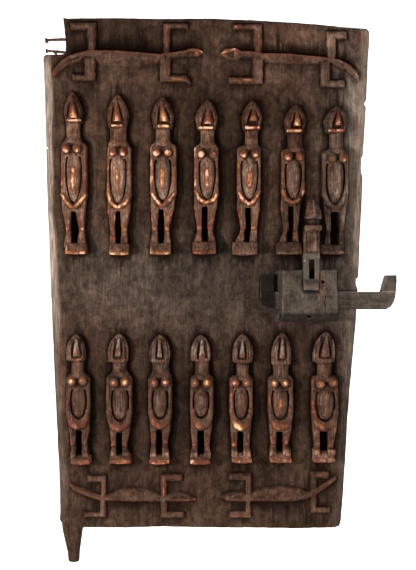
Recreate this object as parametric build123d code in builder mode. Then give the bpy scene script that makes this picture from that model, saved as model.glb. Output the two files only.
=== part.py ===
from build123d import *
import os

os.makedirs("parts", exist_ok=True)

# Carved granary door leaf with its wooden lock.
# Frame: X runs along the width of the leaf, from its pivot side to its lock side,
# +Z is up and the carved face looks along -Y. The origin is on the axis of the
# lower pivot, at the lower end of its round stretch. Millimetres.

# ---------------------------------------------------------------- plank
LEAF_T = 30.0                 # thickness of the plank
GROUND = LEAF_T / 2           # the carved ground lies at Y = -GROUND
SINK = 3.0                    # how deep the carved features reach into the plank
EDGE_BEVEL = 5.0              # worn bevel along the pivot side
PEG_R = 7.0                   # round lower end of the pivot
PEG_LEN = 14.0                # length of the round stretch
PEG_TIP = 2.0                 # rounded end below the origin
PEG_TOP = 47.0                # height at which the pivot leaves the plank

# outline of the plank, (X, Z)
OUTLINE = [
    (-14.4, 779.2), (-11.2, 777.8), (8.9, 778.2), (66.1, 778.5), (123.3, 777.1),
    (187.6, 777.8), (252.0, 775.6), (323.5, 771.3), (380.7, 766.3), (418.6, 763.8),
    (421.6, 759.9), (421.3, 740.6), (419.3, 704.8), (417.1, 654.8), (413.0, 591.9),
    (412.4, 557.6), (410.3, 503.2), (407.8, 453.2), (405.3, 397.4), (402.7, 347.3),
    (394.3, 254.4), (390.4, 204.3), (387.2, 147.1), (383.5, 89.9), (381.1, 61.3),
    (379.2, 53.1), (373.5, 51.3), (309.2, 50.3), (252.0, 51.3), (166.2, 51.9),
    (127.6, 52.8), (66.1, 51.3), (15.3, 51.9), (11.4, 50.5), (10.3, PEG_TOP),
    (-16.2, PEG_TOP), (-19.0, 61.3), (-19.4, 104.2), (-20.7, 132.8), (-23.3, 190.0),
    (-25.5, 232.9), (-28.0, 290.1), (-30.0, 333.0), (-34.0, 433.1), (-37.2, 518.9),
    (-39.0, 590.4), (-41.5, 676.2), (-43.2, 719.1), (-42.0, 724.4), (-39.0, 725.9),
    (-14.0, 726.6), (-10.9, 732.0), (-10.4, 740.6), (-11.2, 753.5), (-12.2, 764.9),
    (-14.0, 776.3),
]

# ---------------------------------------------------------------- figures
# Each figure: apex of the head (x, z); widest part of the head (x, x, z) and its
# lower edge; nose (apex x, top z, foot x, x, z); chin bar (x, x, top z, lower z);
# neck (x, x, lower z); breasts (x, z, x, z, radius); outer edges of the arms and
# height of the shoulder; belly (x, x, top z, lower z); joined hands (x, z) with the
# height of the left and right elbow; thighs, knees and feet as (left leg x, x,
# right leg x, x, z); plinth (x, x, top z, lower front z).
UPPER_ROW = [
    dict(apex=(-0.9, 671.1), head=(-13.1, 14.5, 642.9), head_base=628.3, nose=(-0.3, 662.9, -4.2, 8.4, 633.5), chin=(-7.6, 13.5, 632.0, 627.1), neck=(-8.9, 9.5, 603.8), breast=(-8.2, 591.1, 7.3, 591.1, 6.7), arms=(-16.4, 20.3, 593.7), belly=(-8.0, 11.7, 583.3, 515.7), hands=(1.5, 505.1, 524.1, 524.1), thigh=(-14.1, -2.1, 4.2, 17.6, 504.6), knee=(-9.0, -2.7, 9.3, 16.4, 476.4), foot=(-11.4, -1.5, 6.9, 18.9, 456.7), plinth=(-8.4, 20.3, 456.6, 440.8)),
    dict(apex=(63.6, 667.5), head=(47.9, 79.8, 638.6), head_base=620.5, nose=(62.4, 660.0, 58.1, 70.0, 628.6), chin=(54.9, 72.5, 624.3, 619.4), neck=(53.3, 75.3, 599.6), breast=(57.8, 586.2, 72.3, 586.2, 6.0), arms=(48.6, 83.2, 590.8), belly=(53.9, 75.0, 580.4, 512.1), hands=(64.2, 505.1, 525.5, 524.1), thigh=(50.1, 61.4, 67.7, 81.1, 503.2), knee=(53.7, 60.1, 69.2, 77.0, 474.9), foot=(52.8, 61.3, 68.4, 78.2, 456.7), plinth=(53.2, 80.5, 455.9, 439.4)),
    dict(apex=(126.7, 664.0), head=(111.7, 143.7, 637.2), head_base=619.1, nose=(126.4, 657.2, 124.0, 136.6, 628.6), chin=(121.7, 137.1, 624.3, 618.0), neck=(117.7, 137.5, 599.6), breast=(119.6, 585.5, 135.7, 585.5, 6.4), arms=(110.0, 147.4, 592.3), belly=(117.3, 138.4, 579.0, 517.8), hands=(127.1, 507.9, 526.9, 526.9), thigh=(110.8, 122.1, 129.1, 142.5, 506.0), knee=(112.9, 120.7, 130.3, 136.9, 476.4), foot=(110.0, 121.3, 129.5, 139.0, 457.4), plinth=(110.6, 139.4, 456.6, 440.1)),
    dict(apex=(191.2, 659.7), head=(173.5, 206.1, 634.4), head_base=617.7, nose=(191.9, 650.1, 185.6, 198.9, 625.1), chin=(177.9, 199.6, 621.5, 616.6), neck=(181.3, 200.4, 596.8), breast=(182.1, 583.4, 199.6, 582.7, 6.4), arms=(172.1, 206.7, 590.8), belly=(180.6, 201.1, 577.6, 518.5), hands=(189.1, 512.1, 528.3, 525.5), thigh=(172.2, 183.4, 191.2, 203.9, 508.9), knee=(176.4, 183.4, 191.2, 199.0, 477.8), foot=(172.1, 183.2, 191.9, 202.5, 459.5), plinth=(170.2, 203.1, 458.7, 440.8)),
    dict(apex=(255.0, 658.3), head=(238.7, 269.2, 634.4), head_base=617.0, nose=(256.0, 647.3, 250.7, 261.3, 629.3), chin=(243.9, 265.0, 622.2, 615.9), neck=(244.9, 262.6, 593.9), breast=(242.4, 584.1, 259.0, 584.1, 6.7), arms=(232.9, 266.7, 589.4), belly=(239.8, 261.6, 576.9, 517.8), hands=(250.3, 510.0, 528.3, 528.3), thigh=(233.5, 244.8, 252.6, 264.6, 507.5), knee=(237.7, 245.5, 252.5, 261.4, 477.8), foot=(230.7, 242.5, 250.9, 261.1, 459.5), plinth=(226.2, 262.0, 458.0, 439.4)),
    dict(apex=(316.7, 652.6), head=(299.8, 331.7, 630.1), head_base=612.0, nose=(317.9, 644.5, 312.4, 322.9, 622.3), chin=(302.9, 324.7, 618.0, 611.0), neck=(305.7, 325.5, 591.1), breast=(305.6, 579.9, 321.8, 579.9, 6.9), arms=(295.7, 328.9, 585.2), belly=(302.4, 322.8, 573.4, 517.8), hands=(311.6, 512.1, 529.7, 529.7), thigh=(295.6, 305.5, 313.3, 325.2, 507.5), knee=(298.8, 306.8, 313.6, 320.9, 476.4), foot=(292.9, 302.7, 312.6, 321.8, 459.5), plinth=(288.6, 324.3, 458.0, 440.1)),
    dict(apex=(375.5, 651.2), head=(355.8, 390.6, 630.1), head_base=613.4, nose=(376.4, 644.5, 370.5, 380.3, 623.0), chin=(360.5, 383.7, 618.0, 612.4), neck=(365.1, 383.5, 589.0), breast=(367.1, 577.8, 383.3, 577.8, 6.9), arms=(353.6, 391.0, 583.8), belly=(360.2, 384.1, 573.4, 512.1), hands=(371.4, 504.4, 524.1, 528.3), thigh=(354.9, 365.5, 376.0, 387.3, 503.2), knee=(358.3, 365.8, 377.3, 383.7, 476.4), foot=(354.3, 364.2, 376.2, 384.6, 455.3), plinth=(350.2, 383.1, 454.5, 440.1)),
]
LOWER_ROW = [
    dict(apex=(4.6, 327.2), head=(-9.7, 18.0, 300.8), head_base=290.0, nose=(5.8, 319.7, 1.1, 11.6, 299.2), chin=(-5.8, 14.6, 294.7, 290.5), neck=(-2.0, 15.0, 271.4), breast=(-0.7, 261.7, 15.4, 262.4, 6.6), arms=(-9.5, 25.1, 264.5), belly=(-1.2, 18.5, 252.2, 210.6), hands=(7.7, 194.4, 216.9, 216.9), thigh=(-4.4, 5.5, 12.5, 23.8, 192.6), knee=(-2.2, 4.9, 13.1, 20.4, 173.0), foot=(-3.1, 4.6, 13.1, 23.0, 159.2), plinth=(-1.1, 26.3, 156.3, 144.8)),
    dict(apex=(65.6, 327.9), head=(49.9, 79.0, 302.3), head_base=287.9, nose=(65.7, 319.7, 60.7, 69.1, 299.2), chin=(55.4, 76.5, 294.0, 288.4), neck=(56.7, 75.9, 272.9), breast=(59.0, 260.3, 74.9, 261.0, 6.7), arms=(47.0, 84.5, 264.5), belly=(56.6, 78.4, 251.5, 207.1), hands=(66.2, 191.6, 215.5, 215.5), thigh=(53.5, 62.0, 70.4, 80.3, 191.2), knee=(55.0, 62.0, 70.2, 77.6, 171.5), foot=(53.4, 61.9, 70.4, 80.2, 160.6), plinth=(53.0, 83.9, 157.8, 145.8)),
    dict(apex=(123.8, 326.4), head=(108.8, 138.0, 302.3), head_base=287.1, nose=(123.5, 318.2, 120.3, 127.4, 297.8), chin=(114.5, 134.2, 293.3, 287.7), neck=(113.4, 136.0, 271.4), breast=(116.0, 259.6, 132.1, 260.3, 6.4), arms=(107.1, 141.0, 263.1), belly=(114.1, 134.1, 250.8, 209.9), hands=(124.2, 195.1, 216.9, 216.9), thigh=(110.7, 118.5, 126.9, 138.2, 194.0), knee=(111.4, 118.5, 127.0, 134.7, 174.4), foot=(109.9, 118.4, 126.9, 136.8, 160.6), plinth=(109.1, 137.9, 157.8, 145.5)),
    dict(apex=(182.0, 326.4), head=(167.1, 195.5, 300.8), head_base=289.3, nose=(183.4, 317.5, 178.6, 188.4, 295.7), chin=(170.8, 192.6, 293.3, 289.8), neck=(174.2, 192.6, 268.6), breast=(173.3, 259.6, 190.9, 259.6, 6.6), arms=(166.5, 199.7, 263.1), belly=(172.2, 192.3, 249.4, 211.3), hands=(182.0, 194.4, 216.9, 216.9), thigh=(167.9, 177.1, 186.3, 196.1, 192.6), knee=(169.3, 177.1, 186.3, 194.0, 171.5), foot=(167.2, 177.1, 186.3, 196.1, 160.6), plinth=(166.6, 195.4, 157.8, 145.1)),
    dict(apex=(241.6, 327.2), head=(226.7, 255.8, 300.8), head_base=287.1, nose=(240.5, 316.8, 236.1, 244.5, 297.1), chin=(232.0, 251.0, 293.3, 287.7), neck=(232.9, 249.2, 267.2), breast=(230.2, 260.3, 247.4, 260.3, 6.7), arms=(222.3, 255.5, 263.1), belly=(230.0, 248.3, 251.5, 209.2), hands=(239.1, 193.0, 216.9, 216.9), thigh=(224.4, 233.6, 242.1, 251.9, 192.6), knee=(225.5, 233.5, 242.0, 250.5, 171.5), foot=(225.1, 233.6, 242.1, 252.0, 163.5), plinth=(225.6, 253.7, 160.6, 146.9)),
    dict(apex=(297.6, 329.3), head=(281.4, 309.8, 299.4), head_base=284.3, nose=(297.6, 321.1, 292.2, 300.7, 296.4), chin=(285.5, 304.5, 291.9, 284.8), neck=(284.6, 305.8, 265.8), breast=(285.4, 258.9, 301.3, 259.6, 6.7), arms=(276.7, 312.8, 263.1), belly=(283.5, 305.1, 250.8, 209.2), hands=(294.8, 192.3, 218.4, 218.4), thigh=(279.5, 288.7, 297.8, 309.1, 191.2), knee=(280.8, 288.6, 297.8, 305.5, 174.4), foot=(279.5, 288.7, 297.9, 309.2, 164.2), plinth=(278.9, 309.8, 160.9, 147.2)),
    dict(apex=(360.1, 330.7), head=(340.3, 371.5, 300.8), head_base=287.1, nose=(359.7, 322.5, 350.5, 363.8, 298.5), chin=(344.6, 367.8, 294.7, 287.7), neck=(347.6, 367.4, 265.8), breast=(350.8, 258.2, 368.8, 260.3, 6.7), arms=(338.2, 376.4, 263.1), belly=(345.6, 370.2, 249.4, 207.1), hands=(356.8, 193.0, 215.5, 215.5), thigh=(340.2, 350.1, 361.4, 373.4, 192.6), knee=(342.2, 350.4, 361.3, 369.1, 170.1), foot=(340.3, 350.6, 361.5, 372.1, 164.9), plinth=(340.0, 370.8, 162.1, 147.6)),
]

# heights of the carving above the ground, for the upper row; the lower row is a
# little flatter
H_ARM = 18.0
H_HAND = 23.0
H_BELLY_AXIS = 11.5
H_HEAD_AXIS = 11.0
H_NOSE = 29.0
H_CHIN = 25.0
H_NECK_AXIS = 7.0
H_BREAST = 27.0
H_THIGH = 17.5
H_KNEE = 21.0
H_SHIN = 16.5
H_FOOT = 18.0
H_PLINTH = 29.0
LOWER_RELIEF = 0.92
# half outline of a belly, as shares of its half width and half height
BELLY_CURVE = [(0.0, -1.0), (0.30, -0.96), (0.62, -0.80), (0.87, -0.50), (0.98, -0.17),
               (0.98, 0.17), (0.87, 0.50), (0.62, 0.80), (0.30, 0.96), (0.0, 1.0)]
# outline of a pointed head, from its apex to its widest part, as shares of its
# half width and of its height above that part
HEAD_CURVE = [(0.0, 1.0), (0.16, 0.93), (0.36, 0.80), (0.62, 0.58), (0.85, 0.30), (1.0, 0.0)]

# ---------------------------------------------------------------- lizards
H_LIZARD = 9.0
H_LIZARD_LEG = 6.5
LIZARD_BODIES = [
    [(-35.6, 691.8), (-25.7, 706.0), (-15.7, 718.8), (-4.3, 725.9), (9.9, 730.1), (24.1, 733.0), (66.8, 732.3), (109.4, 728.7), (123.6, 727.3), (137.9, 729.4), (152.1, 731.6), (162.0, 733.0), (166.3, 735.1), (177.7, 735.1), (188.4, 729.4), (177.7, 722.3), (166.3, 721.6), (162.0, 723.0), (145.0, 720.9), (123.6, 713.1), (109.4, 710.2), (88.1, 707.4), (66.8, 708.8), (38.3, 710.2), (24.1, 717.3), (9.9, 718.8), (-4.3, 714.5), (-18.6, 704.5), (-29.9, 691.8)],
    [(207.5, 728.7), (217.5, 735.1), (231.7, 735.8), (238.8, 731.6), (251.6, 731.6), (268.7, 728.7), (308.5, 728.0), (358.3, 723.0), (379.6, 719.5), (393.8, 711.7), (405.2, 700.3), (415.2, 687.5), (416.6, 679.0), (410.9, 683.2), (400.9, 696.0), (386.7, 708.8), (373.9, 713.1), (358.3, 712.4), (322.7, 711.7), (268.7, 714.5), (251.6, 720.2), (238.8, 720.2), (231.7, 716.6), (220.3, 717.3), (211.8, 723.0)],
    [(-8.6, 118.7), (2.8, 111.6), (17.0, 107.3), (27.0, 101.6), (38.3, 98.1), (49.7, 100.2), (56.8, 103.0), (66.8, 107.3), (81.0, 108.7), (102.3, 107.3), (116.5, 103.0), (126.5, 98.8), (133.6, 100.2), (149.2, 104.5), (166.3, 98.8), (177.0, 91.7), (166.3, 88.1), (123.6, 87.8), (95.2, 87.4), (66.8, 88.1), (38.3, 89.5), (24.1, 93.1), (9.9, 98.8), (-1.5, 104.5)],
    [(209.0, 94.5), (217.5, 101.6), (234.6, 103.0), (248.8, 100.9), (261.6, 105.9), (273.0, 108.7), (294.3, 110.9), (308.5, 110.2), (322.7, 107.3), (336.9, 103.0), (351.2, 110.2), (368.2, 121.5), (382.5, 130.8), (383.9, 125.8), (368.2, 113.0), (351.2, 100.9), (334.1, 91.7), (315.6, 88.1), (280.1, 87.4), (254.5, 88.1), (237.4, 88.1), (220.3, 88.8)],
]
LIZARD_LEGS = [
    [(19.6, 729.2), (19.6, 761.9), (-4.6, 761.9), (-4.6, 771.9), (32.4, 771.9), (32.4, 729.2)],
    [(15.3, 722.1), (15.3, 697.9), (-1.8, 697.9), (-1.8, 689.3), (31.0, 689.3), (31.0, 722.1)],
    [(127.8, 724.9), (127.8, 770.5), (163.4, 770.5), (163.4, 764.1), (137.8, 764.1), (137.8, 724.9)],
    [(123.6, 722.1), (123.6, 687.9), (160.6, 687.9), (166.3, 682.2), (167.7, 686.5), (162.0, 696.4), (137.8, 696.4), (137.8, 724.9)],
    [(268.8, 724.9), (268.8, 769.1), (227.5, 769.1), (227.5, 762.7), (257.4, 762.7), (257.4, 724.9)],
    [(270.2, 719.2), (270.2, 685.0), (221.8, 685.0), (221.8, 693.6), (256.0, 693.6), (256.0, 722.1)],
    [(361.4, 719.2), (361.4, 759.1), (389.8, 759.1), (389.8, 749.1), (374.2, 749.1), (374.2, 717.8)],
    [(352.8, 716.4), (352.8, 680.1), (387.0, 680.1), (387.0, 689.3), (365.6, 689.3), (365.6, 716.4)],
    [(39.5, 94.1), (39.5, 116.9), (19.6, 116.9), (19.6, 124.7), (45.9, 124.7), (45.9, 94.1)],
    [(38.1, 92.7), (38.1, 72.7), (15.3, 72.7), (15.3, 66.3), (45.9, 66.3), (45.9, 92.7)],
    [(125.0, 94.1), (125.0, 126.8), (154.9, 126.8), (154.9, 118.3), (132.8, 118.3), (132.8, 94.1)],
    [(125.0, 92.7), (125.0, 65.6), (157.7, 65.6), (157.7, 73.4), (133.5, 73.4), (133.5, 92.7)],
    [(253.8, 95.5), (253.8, 128.3), (221.8, 128.3), (221.8, 119.0), (246.0, 119.0), (246.0, 95.5)],
    [(253.1, 92.7), (253.1, 65.6), (223.2, 65.6), (223.2, 74.1), (246.0, 74.1), (246.0, 92.7)],
    [(338.6, 95.5), (338.6, 131.1), (364.2, 131.1), (364.2, 121.9), (346.4, 121.9), (346.4, 98.4)],
    [(338.6, 96.9), (338.6, 72.7), (365.6, 72.7), (365.6, 79.8), (346.4, 79.8), (346.4, 99.8)],
]

# ---------------------------------------------------------------- lock
CASE_BACK = (287.9, 373.2, 344.7, 418.8)    # x, x, z, z where it meets the plank
CASE_MID = (292.2, 371.6, 347.2, 418.4)     # the same at H_CASE_MID
CASE_FRONT = (293.8, 370.7, 358.9, 418.0)   # the same on the front face
H_CASE_MID = 41.0
H_CASE = 55.0

BOLT_H0, BOLT_H1 = 2.0, 29.0      # the bolt lies between these heights
BOLT_Z0, BOLT_Z1 = 363.1, 388.3   # lower and upper face of its shaft
BOLT_X0 = 264.8                   # left end
BOLT_HEAD_X1 = 284.4              # right side of the left head
BOLT_HEAD_Z = 411.4               # top of the left head and of the right hook
BOLT_CORNER = 14.0                # rounded lower corner of the left head
HOOK = [(436.4, 388.3), (442.7, 411.4), (457.4, 411.4), (456.0, 390.4),
        (453.2, 375.0), (448.3, 366.6), (441.3, 363.1)]
BOLT_PLAY = 1.0                   # room around the shaft in its channel
BOLT_THROW = 3.5                  # what is left of the throw, from the modelled place

TUMBLER_X = (308.0, 332.0)
TUMBLER_W = 9.4
TUMBLER_L = 20.0
TUMBLER_H0, TUMBLER_H1 = 2.5, 21.5
SLOT_PLAY = 0.3
SLOT_TOP = 413.6
MORTISE_DEPTH = 12.4
KEYWAY_Z0, KEYWAY_Z1 = 366.9, 375.9
KEYWAY_H0, KEYWAY_H1 = 6.0, 18.0
KEYWAY_X1 = 337.0

# iron nails that hold the lock: x, z, height of the sunk head's face
LOCK_NAIL_UPPER = (349.8, 401.8, 49.0)
LOCK_NAIL_LOWER = (331.5, 353.9, 40.0)
NAIL_R = 1.6
NAIL_HEAD_R = 3.1
NAIL_HEAD_T = 2.0
NAIL_RECESS_R = 3.3
NAIL_END = -20.0                  # depth of the point, below the ground

# iron nails left in the upper pivot side: start inside the wood, end at the head
PIVOT_NAIL_UPPER = ((12.0, 2.0, 750.6), (-38.9, 3.0, 748.7))
PIVOT_NAIL_LOWER = ((12.0, -3.0, 727.1 + 3.6), (-37.4, -2.0, 733.0))
PIVOT_NAIL_R = 1.5
PIVOT_HEAD_R = 4.3
PIVOT_HEAD_T = 2.0


def face_plane(h):
    """Plane parallel to the carved face, h above the ground."""
    return Plane.XZ.offset(GROUND + h)


def carved_figure(f, k):
    """One standing figure on its wedge plinth, reaching SINK into the plank."""
    hx, hz, zl, zr = f["hands"]
    al, ar, zs = f["arms"]
    bl, br, bt, bb = f["belly"]
    nl, nr, nz = f["neck"]
    pl, pr, pt, pb = f["plinth"]
    cx_head = (f["head"][0] + f["head"][1]) / 2
    r_head = (f["head"][1] - f["head"][0]) / 2

    with BuildPart() as fig:
        # arms, shoulders and joined forearms: one band around the belly
        with BuildSketch(face_plane(-SINK)):
            with BuildLine():
                Polyline((nl, nz + 3), (al + 2.5, zs + 5), (al, zs - 2), (al, zl),
                         (hx - 6, hz + 1), (hx, hz - 2), (hx + 6, hz + 1), (ar, zr),
                         (ar, zs - 2), (ar - 2.5, zs + 5), (nr, nz + 3), close=True)
            make_face()
            with BuildLine():
                Polyline((bl + 4, bt + 1), (bl - 0.6, bt - 9), (bl - 2, (bt + bb) / 2),
                         (bl - 0.6, bb + 9), (hx, hz + 8.5), (br + 0.6, bb + 9),
                         (br + 2, (bt + bb) / 2), (br + 0.6, bt - 9), (br - 4, bt + 1),
                         close=True)
            make_face(mode=Mode.SUBTRACT)
        extrude(amount=SINK + H_ARM * k)
        # raised forearms meeting under the belly
        with BuildSketch(face_plane(0)):
            with BuildLine():
                Polyline((al + 0.6, zl + 5), (al + 1, zl - 3), (hx - 5, hz + 0.5),
                         (hx, hz - 2.6), (hx + 5, hz + 0.5), (ar - 1, zr - 3),
                         (ar - 0.6, zr + 5), (hx, hz + 8.2), close=True)
            make_face()
        extrude(amount=H_HAND * k)
        # long belly
        with BuildSketch(face_plane(-SINK)):
            with Locations(((bl + br) / 2, (bt + bb) / 2)):
                Ellipse((br - bl) / 2 - 0.4, (bt - bb) / 2 - 0.4)
        extrude(amount=SINK + H_BELLY_AXIS * k)
        with BuildSketch(face_plane(H_BELLY_AXIS * k)):
            with BuildLine():
                Polyline(*[((bl + br) / 2 + (br - bl) / 2 * a, (bt + bb) / 2 + (bt - bb) / 2 * b)
                           for a, b in BELLY_CURVE], close=True)
            make_face()
        revolve(axis=Axis(((bl + br) / 2, -GROUND - H_BELLY_AXIS * k, 0), (0, 0, 1)))
        # neck
        with BuildSketch(Plane.XY.offset(nz - 5)):
            with Locations(((nl + nr) / 2, -GROUND - H_NECK_AXIS * k)):
                Circle((nr - nl) / 2)
        extrude(amount=f["head_base"] - nz + 8)
        # pointed head
        with BuildSketch(face_plane(H_HEAD_AXIS * k)):
            with BuildLine():
                Polyline(*[(cx_head + r_head * a, f["head"][2]
                            + (f["apex"][1] - f["head"][2]) * b) for a, b in HEAD_CURVE],
                         (cx_head + 0.86 * r_head, f["head_base"]),
                         (cx_head, f["head_base"]), close=True)
            make_face()
        revolve(axis=Axis((cx_head, -GROUND - H_HEAD_AXIS * k, 0), (0, 0, 1)))
        # wedge nose
        nx, nt, n0, n1, nb = f["nose"]
        with BuildSketch(Plane.XY.offset(nb)):
            with BuildLine():
                Polyline((n0, -GROUND - 8 * k), (n1, -GROUND - 8 * k),
                         (n1 - 1.5, -GROUND - H_NOSE * k), (n0 + 1.5, -GROUND - H_NOSE * k),
                         close=True)
            make_face()
        with BuildSketch(Plane.XY.offset(nt)):
            with BuildLine():
                Polyline((nx - 1.6, -GROUND - 7 * k), (nx + 1.6, -GROUND - 7 * k),
                         (nx + 0.9, -GROUND - 19 * k), (nx - 0.9, -GROUND - 19 * k),
                         close=True)
            make_face()
        loft(ruled=True)
        # chin bar
        c0, c1, ct, cb = f["chin"]
        with BuildSketch(face_plane(0)):
            with Locations(((c0 + c1) / 2, (ct + cb) / 2)):
                Rectangle(c1 - c0, ct - cb)
        extrude(amount=H_CHIN * k)
        # breasts
        b0, z0, b1, z1, rb = f["breast"]
        for bx, bz in ((b0, z0), (b1, z1)):
            with Locations((bx, -GROUND - (H_BREAST * k + 8) / 2, bz)):
                Cone(rb, 1.9, H_BREAST * k - 8, rotation=(90, 0, 0))
        # legs: thigh, knee, shin and foot
        for i in (0, 2):
            rows = [
                (f["thigh"][i], f["thigh"][i + 1], hz + 7, H_THIGH),
                (f["thigh"][i], f["thigh"][i + 1], f["thigh"][4] - 2, H_THIGH),
                (f["knee"][i], f["knee"][i + 1], f["knee"][4] + 2, H_KNEE),
                (f["knee"][i], f["knee"][i + 1], f["knee"][4] - 4, H_SHIN),
                (f["foot"][i], f["foot"][i + 1], f["foot"][4], H_FOOT),
                (f["foot"][i], f["foot"][i + 1], pt - 7, H_FOOT),
            ]
            for x0, x1, z, h in rows:
                with BuildSketch(Plane.XY.offset(z)):
                    with BuildLine():
                        Polyline((x0, -GROUND + SINK), (x1, -GROUND + SINK),
                                 (x1 - 1.6, -GROUND - h * k), (x0 + 1.6, -GROUND - h * k),
                                 close=True)
                    make_face()
            loft(ruled=True)
        # wedge plinth, its top sloping down to a blunt front edge
        step = 20.0 if k == 1.0 else 4.0
        front = 3.6 if k == 1.0 else 6.5
        with BuildSketch(Plane.YZ.offset(pl)):
            with BuildLine():
                Polyline((-GROUND + SINK, pt), (-GROUND - step, pt),
                         (-GROUND - H_PLINTH * k, pb + front), (-GROUND - H_PLINTH * k, pb),
                         (-GROUND + SINK, pb - 1.2), close=True)
            make_face()
        extrude(amount=pr - pl)
    return fig.part


figures = [carved_figure(f, 1.0) for f in UPPER_ROW]
figures += [carved_figure(f, LOWER_RELIEF) for f in LOWER_ROW]


# ---------------------------------------------------------------- nails
def round_nail(start, head, r, head_r, head_t):
    """Nail from its buried end to its head, along one straight line."""
    a, b = Vector(*start), Vector(*head)
    d = (b - a).normalized()
    with BuildPart() as nail:
        with BuildSketch(Plane(origin=a, z_dir=d)):
            Circle(r)
        extrude(amount=(b - a).length)
        with BuildSketch(Plane(origin=b - d * 0.4, z_dir=d)):
            Circle(head_r)
        extrude(amount=head_t)
    return nail


pivot_nail_upper = round_nail(*PIVOT_NAIL_UPPER, PIVOT_NAIL_R, PIVOT_HEAD_R, PIVOT_HEAD_T)
pivot_nail_upper.part.label = "pivot_nail_upper"
pivot_nail_lower = round_nail(*PIVOT_NAIL_LOWER, PIVOT_NAIL_R, PIVOT_HEAD_R, PIVOT_HEAD_T)
pivot_nail_lower.part.label = "pivot_nail_lower"


def sunk_nail(x, z, h):
    """Nail driven square through the lock into the plank, its head at height h."""
    with BuildPart() as nail:
        with BuildSketch(face_plane(h)):
            with Locations((x, z)):
                Circle(NAIL_HEAD_R)
        extrude(amount=-NAIL_HEAD_T)
        with BuildSketch(face_plane(h - NAIL_HEAD_T)):
            with Locations((x, z)):
                Circle(NAIL_R)
        extrude(amount=-(h - NAIL_HEAD_T - NAIL_END))
    return nail


lock_nail_upper = sunk_nail(*LOCK_NAIL_UPPER)
lock_nail_upper.part.label = "lock_nail_upper"
lock_nail_lower = sunk_nail(*LOCK_NAIL_LOWER)
lock_nail_lower.part.label = "lock_nail_lower"

# ---------------------------------------------------------------- door leaf
with BuildPart() as door_leaf:
    with BuildSketch(face_plane(0)):
        with BuildLine():
            Polyline(*OUTLINE, close=True)
        make_face()
    extrude(amount=-LEAF_T)
    # worn bevel along the front of the pivot side
    left = (door_leaf.edges()
            .filter_by(lambda e: abs(e.center().Y + GROUND) < 0.01)
            .filter_by(lambda e: e.center().X < -15 and 65 < e.center().Z < 716))
    chamfer(left, length=EDGE_BEVEL)
    # pivot: squared where it leaves the plank, round at its end
    with BuildSketch(Plane.XY.offset(PEG_TOP)):
        with BuildLine():
            Polyline((-14.7, -GROUND), (8.8, -GROUND), (10.3, -13.5), (10.3, 13.5),
                     (8.8, GROUND), (-14.7, GROUND), (-16.2, 13.5), (-16.2, -13.5),
                     close=True)
        make_face()
    with BuildSketch(Plane.XY.offset(24)):
        with BuildLine():
            Polyline((-6.6, -11.0), (3.8, -11.0), (8.3, -6.0), (8.3, 6.0),
                     (3.8, 11.0), (-6.6, 11.0), (-10.8, 6.0), (-10.8, -6.0),
                     close=True)
        make_face()
    c = PEG_R * 0.4142
    with BuildSketch(Plane.XY.offset(PEG_LEN)):
        with BuildLine():
            Polyline((-c, -PEG_R), (c, -PEG_R), (PEG_R, -c), (PEG_R, c),
                     (c, PEG_R), (-c, PEG_R), (-PEG_R, c), (-PEG_R, -c), close=True)
        make_face()
    loft(ruled=True)
    with BuildSketch(Plane.XY.offset(PEG_LEN + 1)):
        Circle(PEG_R)
    extrude(amount=-(PEG_LEN + 1))
    with BuildSketch(Plane.XY):
        Circle(PEG_R)
    extrude(amount=-PEG_TIP, taper=45)
    # low relief of the four lizards
    for body in LIZARD_BODIES:
        with BuildSketch(face_plane(-SINK)):
            with BuildLine():
                Polyline(*body, close=True)
            make_face()
        extrude(amount=SINK + H_LIZARD)
    for leg in LIZARD_LEGS:
        with BuildSketch(face_plane(-SINK)):
            with BuildLine():
                Polyline(*leg, close=True)
            make_face()
        extrude(amount=SINK + H_LIZARD_LEG)
    # two rows of seven figures, carved from the same plank
    add(figures)
    # the iron nails sit in the wood they were driven into
    add([pivot_nail_upper.part, pivot_nail_lower.part,
         lock_nail_upper.part, lock_nail_lower.part], mode=Mode.SUBTRACT)
door_leaf.part.label = "door_leaf"

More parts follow.
